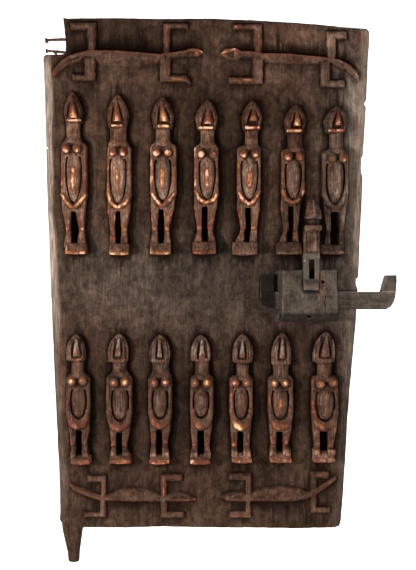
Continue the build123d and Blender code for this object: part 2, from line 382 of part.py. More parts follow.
# ---------------------------------------------------------------- lock case
FIG_X = 336.8
with BuildPart() as lock_case:
    # block: its side outline, narrowed towards the front by its plan outline
    with BuildSketch(Plane.YZ.offset(CASE_BACK[0] - 5)):
        with BuildLine():
            Polyline((-GROUND, CASE_BACK[2]), (-GROUND - H_CASE_MID, CASE_MID[2]),
                     (-GROUND - H_CASE, CASE_FRONT[2]), (-GROUND - H_CASE, CASE_FRONT[3]),
                     (-GROUND - H_CASE_MID, CASE_MID[3]), (-GROUND, CASE_BACK[3]), close=True)
        make_face()
    extrude(amount=CASE_BACK[1] - CASE_BACK[0] + 10)
    with BuildSketch(Plane.XY.offset(CASE_BACK[2] - 5)):
        with BuildLine():
            Polyline((CASE_BACK[0], -GROUND), (CASE_MID[0], -GROUND - H_CASE_MID),
                     (CASE_FRONT[0], -GROUND - H_CASE), (CASE_FRONT[1], -GROUND - H_CASE),
                     (CASE_MID[1], -GROUND - H_CASE_MID), (CASE_BACK[1], -GROUND), close=True)
        make_face()
    extrude(amount=CASE_BACK[3] - CASE_BACK[2] + 10, mode=Mode.INTERSECT)
    # standing figure on the case, from its foot block up to the pointed head
    with BuildSketch(face_plane(43)):
        with Locations((333.3, 398.5)):
            Rectangle(20.5, 16.0)
    extrude(amount=21)
    with BuildSketch(face_plane(43)):
        with BuildLine():
            Polyline((322.9, 402), (331.2, 402), (331.0, 418), (330.4, 436), (338.6, 436),
                     (338.4, 418), (338.2, 402), (344.6, 402), (345.0, 436),
                     (322.8, 436), close=True)
        make_face()
    extrude(amount=15)
    with BuildSketch(face_plane(42)):
        with Locations((334.0, 437.2)):
            Rectangle(22.6, 8.4)
    extrude(amount=19)
    with BuildSketch(face_plane(43)):
        with BuildLine():
            Polyline((323.4, 440), (345.6, 440), (347.0, 473), (324.2, 473), close=True)
        make_face()
    extrude(amount=15)
    with BuildSketch(face_plane(50)):
        with BuildLine():
            Polyline((331.0, 441.5), (343.6, 441.5), (343.9, 470.5), (330.6, 470.5), close=True)
        make_face()
    extrude(amount=12)
    with BuildSketch(face_plane(42)):
        with Locations((336.4, 475.9)):
            Rectangle(24.2, 7.8)
    extrude(amount=18)
    with BuildSketch(Plane.XY.offset(478)):
        with Locations((FIG_X, -GROUND - 51.5)):
            Circle(6.9)
    extrude(amount=14)
    with BuildSketch(face_plane(51.5)):
        with BuildLine():
            Polyline((FIG_X, 488.3), (FIG_X + 10.6, 488.3), (FIG_X + 11.7, 491.1),
                     (FIG_X + 9.9, 499.5), (FIG_X + 7.4, 507.0), (FIG_X + 4.2, 513.0),
                     (FIG_X + 1.8, 516.5), (FIG_X, 518.0), close=True)
        make_face()
    revolve(axis=Axis((FIG_X, -GROUND - 51.5, 0), (0, 0, 1)))
    # channel for the bolt, open towards the plank
    with BuildSketch(Plane.YZ.offset(280)):
        with BuildLine():
            Polyline((-GROUND + 1, BOLT_Z0 - BOLT_PLAY), (-GROUND + 1, BOLT_Z1 + BOLT_PLAY),
                     (-GROUND - BOLT_H1 - BOLT_PLAY, BOLT_Z1 + BOLT_PLAY),
                     (-GROUND - BOLT_H1 - BOLT_PLAY, BOLT_Z0 - BOLT_PLAY), close=True)
        make_face()
    extrude(amount=100, mode=Mode.SUBTRACT)
    # upright slots for the tumblers, cut from the back as well
    for x in TUMBLER_X:
        with BuildSketch(face_plane(-1)):
            with Locations((x, (BOLT_Z1 + SLOT_TOP) / 2)):
                Rectangle(TUMBLER_W + 2 * SLOT_PLAY, SLOT_TOP - BOLT_Z1)
        extrude(amount=1 + TUMBLER_H1 + SLOT_PLAY, mode=Mode.SUBTRACT)
    # sunk holes of the two iron nails
    for (x, z, h), far in ((LOCK_NAIL_UPPER, 60.0), (LOCK_NAIL_LOWER, 60.0)):
        with BuildSketch(face_plane(h)):
            with Locations((x, z)):
                Circle(NAIL_RECESS_R)
        extrude(amount=far - h, mode=Mode.SUBTRACT)
    add([lock_nail_upper.part, lock_nail_lower.part], mode=Mode.SUBTRACT)
lock_case.part.label = "lock_case"

# ---------------------------------------------------------------- bolt
with BuildPart() as bolt:
    with BuildSketch(face_plane(BOLT_H0)):
        with BuildLine():
            Polyline((BOLT_X0, BOLT_Z0 + BOLT_CORNER), (BOLT_X0, BOLT_HEAD_Z),
                     (BOLT_HEAD_X1, BOLT_HEAD_Z), (BOLT_HEAD_X1, BOLT_Z1), *HOOK,
                     (BOLT_X0 + BOLT_CORNER, BOLT_Z0))
            ThreePointArc((BOLT_X0 + BOLT_CORNER, BOLT_Z0),
                          (BOLT_X0 + BOLT_CORNER * 0.293, BOLT_Z0 + BOLT_CORNER * 0.293),
                          (BOLT_X0, BOLT_Z0 + BOLT_CORNER))
        make_face()
    extrude(amount=BOLT_H1 - BOLT_H0)
    # keyway, hollowed from the left end
    with BuildSketch(Plane.YZ.offset(BOLT_X0 - 1)):
        with BuildLine():
            Polyline((-GROUND - KEYWAY_H0, KEYWAY_Z0), (-GROUND - KEYWAY_H0, KEYWAY_Z1),
                     (-GROUND - KEYWAY_H1, KEYWAY_Z1), (-GROUND - KEYWAY_H1, KEYWAY_Z0),
                     close=True)
        make_face()
    extrude(amount=KEYWAY_X1 - BOLT_X0 + 1, mode=Mode.SUBTRACT)
    # mortises that the tumblers drop into when the bolt is fully thrown
    for x in TUMBLER_X:
        with BuildSketch(face_plane(BOLT_H0 - 1)):
            with Locations((x - BOLT_THROW, BOLT_Z1 - MORTISE_DEPTH / 2 + 0.5)):
                Rectangle(TUMBLER_W + 1.2, MORTISE_DEPTH + 1)
        extrude(amount=1 + TUMBLER_H1 + 0.6 - BOLT_H0, mode=Mode.SUBTRACT)
bolt.part.label = "bolt"


# ---------------------------------------------------------------- tumblers
def make_tumbler(x):
    """Wooden block that rests on the bolt and drops into it when it is thrown."""
    z0 = BOLT_Z1 + 0.3
    with BuildPart() as block:
        with BuildSketch(face_plane(TUMBLER_H0)):
            with Locations((x, z0 + TUMBLER_L / 2)):
                Rectangle(TUMBLER_W, TUMBLER_L)
        extrude(amount=TUMBLER_H1 - TUMBLER_H0)
        chamfer(block.edges().filter_by(Axis.Y).group_by(Axis.Z)[0], length=1.0)
    return block


tumbler_left = make_tumbler(TUMBLER_X[0])
tumbler_left.part.label = "tumbler_left"
tumbler_right = make_tumbler(TUMBLER_X[1])
tumbler_right.part.label = "tumbler_right"

export_step(door_leaf.part, "parts/door_leaf.step")
export_step(lock_case.part, "parts/lock_case.step")
export_step(bolt.part, "parts/bolt.step")
export_step(tumbler_left.part, "parts/tumbler_left.step")
export_step(tumbler_right.part, "parts/tumbler_right.step")
export_step(lock_nail_upper.part, "parts/lock_nail_upper.step")
export_step(lock_nail_lower.part, "parts/lock_nail_lower.step")
export_step(pivot_nail_upper.part, "parts/pivot_nail_upper.step")
export_step(pivot_nail_lower.part, "parts/pivot_nail_lower.step")
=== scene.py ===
import math

import bpy
import numpy as np
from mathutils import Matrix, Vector


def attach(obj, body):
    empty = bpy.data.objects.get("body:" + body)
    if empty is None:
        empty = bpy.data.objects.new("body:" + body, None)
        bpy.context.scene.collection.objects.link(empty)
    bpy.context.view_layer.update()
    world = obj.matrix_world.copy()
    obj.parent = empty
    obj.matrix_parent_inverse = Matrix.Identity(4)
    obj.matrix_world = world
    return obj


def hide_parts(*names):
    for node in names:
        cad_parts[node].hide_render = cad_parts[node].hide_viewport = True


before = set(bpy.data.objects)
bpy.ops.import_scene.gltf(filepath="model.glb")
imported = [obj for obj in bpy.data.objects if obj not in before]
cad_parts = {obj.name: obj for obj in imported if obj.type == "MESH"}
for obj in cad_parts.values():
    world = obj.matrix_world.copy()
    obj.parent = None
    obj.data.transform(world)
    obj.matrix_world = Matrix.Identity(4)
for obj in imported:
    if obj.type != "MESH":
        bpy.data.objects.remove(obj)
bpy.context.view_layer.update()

# All shapes are worked out in millimetres, in (x, z, h): h is the height above the
# carved ground of the leaf, which lies at Y = -GROUND.
GROUND = 15.0
LEAF_T = 30.0


# outline of the plank, (X, Z)
OUTLINE = [
    (-14.4, 779.2), (-11.2, 777.8), (8.9, 778.2), (66.1, 778.5), (123.3, 777.1),
    (187.6, 777.8), (252.0, 775.6), (323.5, 771.3), (380.7, 766.3), (418.6, 763.8),
    (421.6, 759.9), (421.3, 740.6), (419.3, 704.8), (417.1, 654.8), (413.0, 591.9),
    (412.4, 557.6), (410.3, 503.2), (407.8, 453.2), (405.3, 397.4), (402.7, 347.3),
    (394.3, 254.4), (390.4, 204.3), (387.2, 147.1), (383.5, 89.9), (381.1, 61.3),
    (379.2, 53.1), (373.5, 51.3), (309.2, 50.3), (252.0, 51.3), (166.2, 51.9),
    (127.6, 52.8), (66.1, 51.3), (15.3, 51.9), (11.4, 50.5), (10.3, 47.0),
    (-16.2, 47.0), (-19.0, 61.3), (-19.4, 104.2), (-20.7, 132.8), (-23.3, 190.0),
    (-25.5, 232.9), (-28.0, 290.1), (-30.0, 333.0), (-34.0, 433.1), (-37.2, 518.9),
    (-39.0, 590.4), (-41.5, 676.2), (-43.2, 719.1), (-42.0, 724.4), (-39.0, 725.9),
    (-14.0, 726.6), (-10.9, 732.0), (-10.4, 740.6), (-11.2, 753.5), (-12.2, 764.9),
    (-14.0, 776.3),
]

# ---------------------------------------------------------------- figures
# Each figure: apex of the head (x, z); widest part of the head (x, x, z) and its
# lower edge; nose (apex x, top z, foot x, x, z); chin bar (x, x, top z, lower z);
# neck (x, x, lower z); breasts (x, z, x, z, radius); outer edges of the arms and
# height of the shoulder; belly (x, x, top z, lower z); joined hands (x, z) with the
# height of the left and right elbow; thighs, knees and feet as (left leg x, x,
# right leg x, x, z); plinth (x, x, top z, lower front z).
UPPER_ROW = [
    dict(apex=(-0.9, 671.1), head=(-13.1, 14.5, 642.9), head_base=628.3, nose=(-0.3, 662.9, -4.2, 8.4, 633.5), chin=(-7.6, 13.5, 632.0, 627.1), neck=(-8.9, 9.5, 603.8), breast=(-8.2, 591.1, 7.3, 591.1, 6.7), arms=(-16.4, 20.3, 593.7), belly=(-8.0, 11.7, 583.3, 515.7), hands=(1.5, 505.1, 524.1, 524.1), thigh=(-14.1, -2.1, 4.2, 17.6, 504.6), knee=(-9.0, -2.7, 9.3, 16.4, 476.4), foot=(-11.4, -1.5, 6.9, 18.9, 456.7), plinth=(-8.4, 20.3, 456.6, 440.8)),
    dict(apex=(63.6, 667.5), head=(47.9, 79.8, 638.6), head_base=620.5, nose=(62.4, 660.0, 58.1, 70.0, 628.6), chin=(54.9, 72.5, 624.3, 619.4), neck=(53.3, 75.3, 599.6), breast=(57.8, 586.2, 72.3, 586.2, 6.0), arms=(48.6, 83.2, 590.8), belly=(53.9, 75.0, 580.4, 512.1), hands=(64.2, 505.1, 525.5, 524.1), thigh=(50.1, 61.4, 67.7, 81.1, 503.2), knee=(53.7, 60.1, 69.2, 77.0, 474.9), foot=(52.8, 61.3, 68.4, 78.2, 456.7), plinth=(53.2, 80.5, 455.9, 439.4)),
    dict(apex=(126.7, 664.0), head=(111.7, 143.7, 637.2), head_base=619.1, nose=(126.4, 657.2, 124.0, 136.6, 628.6), chin=(121.7, 137.1, 624.3, 618.0), neck=(117.7, 137.5, 599.6), breast=(119.6, 585.5, 135.7, 585.5, 6.4), arms=(110.0, 147.4, 592.3), belly=(117.3, 138.4, 579.0, 517.8), hands=(127.1, 507.9, 526.9, 526.9), thigh=(110.8, 122.1, 129.1, 142.5, 506.0), knee=(112.9, 120.7, 130.3, 136.9, 476.4), foot=(110.0, 121.3, 129.5, 139.0, 457.4), plinth=(110.6, 139.4, 456.6, 440.1)),
    dict(apex=(191.2, 659.7), head=(173.5, 206.1, 634.4), head_base=617.7, nose=(191.9, 650.1, 185.6, 198.9, 625.1), chin=(177.9, 199.6, 621.5, 616.6), neck=(181.3, 200.4, 596.8), breast=(182.1, 583.4, 199.6, 582.7, 6.4), arms=(172.1, 206.7, 590.8), belly=(180.6, 201.1, 577.6, 518.5), hands=(189.1, 512.1, 528.3, 525.5), thigh=(172.2, 183.4, 191.2, 203.9, 508.9), knee=(176.4, 183.4, 191.2, 199.0, 477.8), foot=(172.1, 183.2, 191.9, 202.5, 459.5), plinth=(170.2, 203.1, 458.7, 440.8)),
    dict(apex=(255.0, 658.3), head=(238.7, 269.2, 634.4), head_base=617.0, nose=(256.0, 647.3, 250.7, 261.3, 629.3), chin=(243.9, 265.0, 622.2, 615.9), neck=(244.9, 262.6, 593.9), breast=(242.4, 584.1, 259.0, 584.1, 6.7), arms=(232.9, 266.7, 589.4), belly=(239.8, 261.6, 576.9, 517.8), hands=(250.3, 510.0, 528.3, 528.3), thigh=(233.5, 244.8, 252.6, 264.6, 507.5), knee=(237.7, 245.5, 252.5, 261.4, 477.8), foot=(230.7, 242.5, 250.9, 261.1, 459.5), plinth=(226.2, 262.0, 458.0, 439.4)),
    dict(apex=(316.7, 652.6), head=(299.8, 331.7, 630.1), head_base=612.0, nose=(317.9, 644.5, 312.4, 322.9, 622.3), chin=(302.9, 324.7, 618.0, 611.0), neck=(305.7, 325.5, 591.1), breast=(305.6, 579.9, 321.8, 579.9, 6.9), arms=(295.7, 328.9, 585.2), belly=(302.4, 322.8, 573.4, 517.8), hands=(311.6, 512.1, 529.7, 529.7), thigh=(295.6, 305.5, 313.0, 322.6, 507.5), knee=(298.8, 306.4, 312.6, 319.3, 476.4), foot=(292.9, 302.7, 312.0, 320.2, 459.5), plinth=(288.6, 324.3, 458.0, 440.1)),
    dict(apex=(375.5, 651.2), head=(355.8, 390.6, 630.1), head_base=613.4, nose=(376.4, 644.5, 370.5, 380.3, 623.0), chin=(360.5, 383.7, 618.0, 612.4), neck=(365.1, 383.5, 589.0), breast=(367.1, 577.8, 383.3, 577.8, 6.9), arms=(353.6, 391.0, 583.8), belly=(360.2, 384.1, 573.4, 512.1), hands=(371.4, 504.4, 524.1, 528.3), thigh=(357.2, 365.5, 376.0, 387.3, 503.2), knee=(359.0, 365.8, 377.3, 383.7, 476.4), foot=(356.6, 364.8, 376.2, 384.6, 455.3), plinth=(350.2, 383.1, 454.5, 440.1)),
]
LOWER_ROW = [
    dict(apex=(4.6, 327.2), head=(-9.7, 18.0, 300.8), head_base=290.0, nose=(5.8, 319.7, 1.1, 11.6, 299.2), chin=(-5.8, 14.6, 294.7, 290.5), neck=(-2.0, 15.0, 271.4), breast=(-0.7, 261.7, 15.4, 262.4, 6.6), arms=(-9.5, 25.1, 264.5), belly=(-1.2, 18.5, 252.2, 210.6), hands=(7.7, 194.4, 216.9, 216.9), thigh=(-4.4, 5.5, 12.5, 23.8, 192.6), knee=(-2.2, 4.9, 13.1, 20.4, 173.0), foot=(-3.1, 4.6, 13.1, 23.0, 159.2), plinth=(-1.1, 26.3, 156.3, 144.8)),
    dict(apex=(65.6, 327.9), head=(49.9, 79.0, 302.3), head_base=287.9, nose=(65.7, 319.7, 60.7, 69.1, 299.2), chin=(55.4, 76.5, 294.0, 288.4), neck=(56.7, 75.9, 272.9), breast=(59.0, 260.3, 74.9, 261.0, 6.7), arms=(47.0, 84.5, 264.5), belly=(56.6, 78.4, 251.5, 207.1), hands=(66.2, 191.6, 215.5, 215.5), thigh=(53.5, 62.0, 70.4, 80.3, 191.2), knee=(55.0, 62.0, 70.2, 77.6, 171.5), foot=(53.4, 61.9, 70.4, 80.2, 160.6), plinth=(53.0, 83.9, 157.8, 145.8)),
    dict(apex=(123.8, 326.4), head=(108.8, 138.0, 302.3), head_base=287.1, nose=(123.5, 318.2, 120.3, 127.4, 297.8), chin=(114.5, 134.2, 293.3, 287.7), neck=(113.4, 136.0, 271.4), breast=(116.0, 259.6, 132.1, 260.3, 6.4), arms=(107.1, 141.0, 263.1), belly=(114.1, 134.1, 250.8, 209.9), hands=(124.2, 195.1, 216.9, 216.9), thigh=(110.7, 118.5, 126.9, 138.2, 194.0), knee=(111.4, 118.5, 127.0, 134.7, 174.4), foot=(109.9, 118.4, 126.9, 136.8, 160.6), plinth=(109.1, 137.9, 157.8, 145.5)),
    dict(apex=(182.0, 326.4), head=(167.1, 195.5, 300.8), head_base=289.3, nose=(183.4, 317.5, 178.6, 188.4, 295.7), chin=(170.8, 192.6, 293.3, 289.8), neck=(174.2, 192.6, 268.6), breast=(173.3, 259.6, 190.9, 259.6, 6.6), arms=(166.5, 199.7, 263.1), belly=(172.2, 192.3, 249.4, 211.3), hands=(182.0, 194.4, 216.9, 216.9), thigh=(167.9, 177.1, 186.3, 196.1, 192.6), knee=(169.3, 177.1, 186.3, 194.0, 171.5), foot=(167.2, 177.1, 186.3, 196.1, 160.6), plinth=(166.6, 195.4, 157.8, 145.1)),
    dict(apex=(241.6, 327.2), head=(226.7, 255.8, 300.8), head_base=287.1, nose=(240.5, 316.8, 236.1, 244.5, 297.1), chin=(232.0, 251.0, 293.3, 287.7), neck=(232.9, 249.2, 267.2), breast=(230.2, 260.3, 247.4, 260.3, 6.7), arms=(222.3, 255.5, 263.1), belly=(230.0, 248.3, 251.5, 209.2), hands=(239.1, 193.0, 216.9, 216.9), thigh=(224.4, 233.6, 242.1, 251.9, 192.6), knee=(225.5, 233.5, 242.0, 250.5, 171.5), foot=(225.1, 233.6, 242.1, 252.0, 163.5), plinth=(225.6, 253.7, 160.6, 146.9)),
    dict(apex=(297.6, 329.3), head=(281.4, 309.8, 299.4), head_base=284.3, nose=(297.6, 321.1, 292.2, 300.7, 296.4), chin=(285.5, 304.5, 291.9, 284.8), neck=(284.6, 305.8, 265.8), breast=(285.4, 258.9, 301.3, 259.6, 6.7), arms=(276.7, 312.8, 263.1), belly=(283.5, 305.1, 250.8, 209.2), hands=(294.8, 192.3, 218.4, 218.4), thigh=(279.5, 288.7, 297.8, 309.1, 191.2), knee=(280.8, 288.6, 297.8, 305.5, 174.4), foot=(279.5, 288.7, 297.9, 309.2, 164.2), plinth=(278.9, 309.8, 160.9, 147.2)),
    dict(apex=(360.1, 330.7), head=(340.3, 371.5, 300.8), head_base=287.1, nose=(359.7, 322.5, 350.5, 363.8, 298.5), chin=(344.6, 367.8, 294.7, 287.7), neck=(347.6, 367.4, 265.8), breast=(350.8, 258.2, 368.8, 260.3, 6.7), arms=(338.2, 376.4, 263.1), belly=(345.6, 370.2, 249.4, 207.1), hands=(356.8, 193.0, 215.5, 215.5), thigh=(340.2, 350.1, 361.4, 373.4, 192.6), knee=(342.2, 350.4, 361.3, 369.1, 170.1), foot=(340.3, 350.6, 361.5, 372.1, 164.9), plinth=(340.0, 370.8, 162.1, 147.6)),
]
# ---------------------------------------------------------------- lizards
H_LIZARD = 9.0
H_LIZARD_LEG = 6.5
LIZARD_BODIES = [
    [(-35.6, 691.8), (-25.7, 706.0), (-15.7, 718.8), (-4.3, 725.9), (9.9, 730.1), (24.1, 733.0), (66.8, 732.3), (109.4, 728.7), (123.6, 727.3), (137.9, 729.4), (152.1, 731.6), (162.0, 733.0), (166.3, 735.1), (177.7, 735.1), (188.4, 729.4), (177.7, 722.3), (166.3, 721.6), (162.0, 723.0), (145.0, 720.9), (123.6, 713.1), (109.4, 710.2), (88.1, 707.4), (66.8, 708.8), (38.3, 710.2), (24.1, 717.3), (9.9, 718.8), (-4.3, 714.5), (-18.6, 704.5), (-29.9, 691.8)],
    [(207.5, 728.7), (217.5, 735.1), (231.7, 735.8), (238.8, 731.6), (251.6, 731.6), (268.7, 728.7), (308.5, 728.0), (358.3, 723.0), (379.6, 719.5), (393.8, 711.7), (405.2, 700.3), (415.2, 687.5), (416.6, 679.0), (410.9, 683.2), (400.9, 696.0), (386.7, 708.8), (373.9, 713.1), (358.3, 712.4), (322.7, 711.7), (268.7, 714.5), (251.6, 720.2), (238.8, 720.2), (231.7, 716.6), (220.3, 717.3), (211.8, 723.0)],
    [(-8.6, 118.7), (2.8, 111.6), (17.0, 107.3), (27.0, 101.6), (38.3, 98.1), (49.7, 100.2), (56.8, 103.0), (66.8, 107.3), (81.0, 108.7), (102.3, 107.3), (116.5, 103.0), (126.5, 98.8), (133.6, 100.2), (149.2, 104.5), (166.3, 98.8), (177.0, 91.7), (166.3, 88.1), (123.6, 87.8), (95.2, 87.4), (66.8, 88.1), (38.3, 89.5), (24.1, 93.1), (9.9, 98.8), (-1.5, 104.5)],
    [(209.0, 94.5), (217.5, 101.6), (234.6, 103.0), (248.8, 100.9), (261.6, 105.9), (273.0, 108.7), (294.3, 110.9), (308.5, 110.2), (322.7, 107.3), (336.9, 103.0), (351.2, 110.2), (368.2, 121.5), (382.5, 130.8), (383.9, 125.8), (368.2, 113.0), (351.2, 100.9), (334.1, 91.7), (315.6, 88.1), (280.1, 87.4), (254.5, 88.1), (237.4, 88.1), (220.3, 88.8)],
]
LIZARD_LEGS = [
    [(19.6, 729.2), (19.6, 761.9), (-4.6, 761.9), (-4.6, 771.9), (32.4, 771.9), (32.4, 729.2)],
    [(15.3, 722.1), (15.3, 697.9), (-1.8, 697.9), (-1.8, 689.3), (31.0, 689.3), (31.0, 722.1)],
    [(127.8, 724.9), (127.8, 770.5), (163.4, 770.5), (163.4, 764.1), (137.8, 764.1), (137.8, 724.9)],
    [(123.6, 722.1), (123.6, 687.9), (160.6, 687.9), (166.3, 682.2), (167.7, 686.5), (162.0, 696.4), (137.8, 696.4), (137.8, 724.9)],
    [(268.8, 724.9), (268.8, 769.1), (227.5, 769.1), (227.5, 762.7), (257.4, 762.7), (257.4, 724.9)],
    [(270.2, 719.2), (270.2, 685.0), (221.8, 685.0), (221.8, 693.6), (256.0, 693.6), (256.0, 722.1)],
    [(361.4, 719.2), (361.4, 759.1), (389.8, 759.1), (389.8, 749.1), (374.2, 749.1), (374.2, 717.8)],
    [(352.8, 716.4), (352.8, 680.1), (387.0, 680.1), (387.0, 689.3), (365.6, 689.3), (365.6, 716.4)],
    [(39.5, 94.1), (39.5, 116.9), (19.6, 116.9), (19.6, 124.7), (45.9, 124.7), (45.9, 94.1)],
    [(38.1, 92.7), (38.1, 72.7), (15.3, 72.7), (15.3, 66.3), (45.9, 66.3), (45.9, 92.7)],
    [(125.0, 94.1), (125.0, 126.8), (154.9, 126.8), (154.9, 118.3), (132.8, 118.3), (132.8, 94.1)],
    [(125.0, 92.7), (125.0, 65.6), (157.7, 65.6), (157.7, 73.4), (133.5, 73.4), (133.5, 92.7)],
    [(253.8, 95.5), (253.8, 128.3), (221.8, 128.3), (221.8, 119.0), (246.0, 119.0), (246.0, 95.5)],
    [(253.1, 92.7), (253.1, 65.6), (223.2, 65.6), (223.2, 74.1), (246.0, 74.1), (246.0, 92.7)],
    [(338.6, 95.5), (338.6, 131.1), (364.2, 131.1), (364.2, 121.9), (346.4, 121.9), (346.4, 98.4)],
    [(338.6, 96.9), (338.6, 72.7), (365.6, 72.7), (365.6, 79.8), (346.4, 79.8), (346.4, 99.8)],
]

# ------------------------------------------------------------------ shape kit
def smax(a, b, k):
    """The larger of two distances, rounded over k millimetres."""
    m = np.maximum(k - np.abs(a - b), 0.0)
    return np.maximum(a, b) + m * m * (0.25 / k)


def smin(a, b, k):
    m = np.maximum(k - np.abs(a - b), 0.0)
    return np.minimum(a, b) - m * m * (0.25 / k)


def ease(t):
    t = np.clip(t, 0.0, 1.0)
    return t * t * (3.0 - 2.0 * t)


def ramp(v, lo, hi):
    return ease((v - lo) / (hi - lo))


class Field:
    """Signed distances on a grid, negative inside the wood."""

    def __init__(self, lo, hi, step):
        self.step = step
        self.ax = [np.arange(a, b + step, step, dtype=np.float32) for a, b in zip(lo, hi)]
        self.v = np.full([len(a) for a in self.ax], 9.0, np.float32)

    def part(self, lo, hi):
        cut = []
        for a, b, c in zip(self.ax, lo, hi):
            cut.append(slice(max(int(np.searchsorted(a, b)) - 1, 0),
                             min(int(np.searchsorted(a, c)) + 1, len(a))))
        x, z, h = (a[s] for a, s in zip(self.ax, cut))
        return tuple(cut), x[:, None, None], z[None, :, None], h[None, None, :]


def polygon(X, Z, points):
    """Signed distance to a closed outline in the face plane."""
    shape = np.broadcast(X, Z).shape
    d = np.full(shape, 1e9, np.float32)
    inside = np.zeros(shape, bool)
    for (x0, z0), (x1, z1) in zip(points, points[1:] + points[:1]):
        ex, ez = x1 - x0, z1 - z0
        wx, wz = X - x0, Z - z0
        t = np.clip((wx * ex + wz * ez) / (ex * ex + ez * ez + 1e-9), 0.0, 1.0)
        d = np.minimum(d, (wx - ex * t) ** 2 + (wz - ez * t) ** 2)
        if ez:
            inside ^= ((z0 <= Z) != (z1 <= Z)) & (X < x0 + (Z - z0) * (ex / ez))
    d = np.sqrt(d)
    return np.where(inside, -d, d)


def slab(side, H, top, r):
    """An outline carried up to a height, its rim rounded by r."""
    a, b = side + r, H - (top - r)
    return np.sqrt(np.maximum(a, 0) ** 2 + np.maximum(b, 0) ** 2) + np.minimum(np.maximum(a, b), 0) - r


def rod(X, Z, H, a, b, ra, rb, filled=True):
    """A bar with round ends from a to b; filled bars reach down into the plank."""
    ux, uz, uh = b[0] - a[0], b[1] - a[1], b[2] - a[2]
    px, pz, ph = X - a[0], Z - a[1], H - a[2]
    if filled:
        t = np.clip((px * ux + pz * uz) / (ux * ux + uz * uz + 1e-6), 0.0, 1.0)
        dh = np.maximum(ph - t * uh, 0.0)
    else:
        t = np.clip((px * ux + pz * uz + ph * uh) / (ux * ux + uz * uz + uh * uh), 0.0, 1.0)
        dh = ph - t * uh
    return np.sqrt((px - t * ux) ** 2 + (pz - t * uz) ** 2 + dh ** 2) - (ra + t * (rb - ra))


def noise(p, size, seed):
    """Smooth value noise from -1 to 1 at the points p, with features of the given size."""
    q = p / np.asarray(size, float) + seed * 13.7
    i = np.floor(q)
    f = q - i
    f = f * f * (3.0 - 2.0 * f)
    i = i.astype(np.int64)
    out = np.zeros(len(p))
    for dx in (0, 1):
        for dy in (0, 1):
            for dz in (0, 1):
                n = (i[:, 0] + dx) * 73856093 ^ (i[:, 1] + dy) * 19349663 ^ (i[:, 2] + dz) * 83492791
                n = (n ^ (seed * 2654435761)) & 0xFFFFFFFF
                n = (n ^ (n >> 15)) * 2246822519 & 0xFFFFFFFF
                n = (n ^ (n >> 13)) * 3266489917 & 0xFFFFFFFF
                n = n ^ (n >> 16)
                w = ((f[:, 0] if dx else 1 - f[:, 0]) * (f[:, 1] if dy else 1 - f[:, 1])
                     * (f[:, 2] if dz else 1 - f[:, 2]))
                out += w * (n / 2147483647.5 - 1.0)
    return out


def skin(field):
    """The surface of a field: one point in each cell it crosses, joined by quads."""
    F = field.v
    I = F < 0
    nx, ny, nz = F.shape
    count = np.zeros((nx - 1, ny - 1, nz - 1), np.uint8)
    for a in (0, 1):
        for b in (0, 1):
            for c in (0, 1):
                count += I[a:nx - 1 + a, b:ny - 1 + b, c:nz - 1 + c]
    cells = np.flatnonzero((count > 0) & (count < 8))
    ci, cj, ck = np.unravel_index(cells, count.shape)
    corner = {}
    for a in (0, 1):
        for b in (0, 1):
            for c in (0, 1):
                corner[a, b, c] = F[ci + a, cj + b, ck + c]
    pos = np.zeros((len(cells), 3), np.float32)
    hits = np.zeros(len(cells), np.float32)
    for p in corner:
        for axis in range(3):
            if p[axis]:
                continue
            q = tuple(1 if n == axis else v for n, v in enumerate(p))
            va, vb = corner[p], corner[q]
            m = (va < 0) != (vb < 0)
            t = va[m] / (va[m] - vb[m])
            for n in range(3):
                pos[m, n] += p[n] + (t if n == axis else 0.0)
            hits[m] += 1
    pos /= hits[:, None]
    pos += np.stack([ci, cj, ck], 1)
    pos *= field.step
    pos += np.array([a[0] for a in field.ax], np.float32)
    number = np.full(count.shape, -1, np.int32)
    number.ravel()[cells] = np.arange(len(cells), dtype=np.int32)
    quads = []
    for axis in range(3):
        u, v = (axis + 1) % 3, (axis + 2) % 3
        lo = [slice(None)] * 3
        hi = [slice(None)] * 3
        lo[axis], hi[axis] = slice(0, -1), slice(1, None)
        for n in (u, v):
            lo[n] = hi[n] = slice(1, -1)
        s0, s1 = I[tuple(lo)], I[tuple(hi)]
        e = np.argwhere(s0 != s1)
        out = s0[tuple(e.T)]
        base = e.copy()
        ring = []
        for du, dv in ((0, 0), (1, 0), (1, 1), (0, 1)):
            c = base.copy()
            c[:, u] += du
            c[:, v] += dv
            ring.append(number[tuple(c.T)])
        q = np.stack(ring, 1)
        q[~out] = q[~out][:, ::-1]
        quads.append(q)
    return pos, np.concatenate(quads)


def blur(v, r, times=2):
    """Mean over a cube of 2r+1 samples, repeated."""
    v = v.astype(np.float32)
    for _ in range(times):
        for axis in range(3):
            n = v.shape[axis]
            w = [(0, 0)] * 3
            w[axis] = (r + 1, r)
            c = np.cumsum(np.pad(v, w, mode="edge"), axis=axis, dtype=np.float64)
            a = [slice(None)] * 3
            b = [slice(None)] * 3
            a[axis], b[axis] = slice(2 * r + 1, 2 * r + 1 + n), slice(0, n)
            v = ((c[tuple(a)] - c[tuple(b)]) / (2 * r + 1)).astype(np.float32)
    return v


def sample(field, v, p):
    """Values of a grid at the points p."""
    q = (p - np.array([a[0] for a in field.ax])) / field.step
    i = np.clip(np.floor(q).astype(int), 0, np.array(v.shape) - 2)
    f = np.clip(q - i, 0, 1)
    out = np.zeros(len(p))
    for dx in (0, 1):
        for dy in (0, 1):
            for dz in (0, 1):
                w = ((f[:, 0] if dx else 1 - f[:, 0]) * (f[:, 1] if dy else 1 - f[:, 1])
                     * (f[:, 2] if dz else 1 - f[:, 2]))
                out += w * v[i[:, 0] + dx, i[:, 1] + dy, i[:, 2] + dz]
    return out


def to_world(p):
    return np.stack([p[:, 0], -GROUND - p[:, 2], p[:, 1]], 1) / 1000.0


def from_world(co):
    return np.stack([co[:, 0], co[:, 2], -co[:, 1] - GROUND / 1000.0], 1) * 1000.0


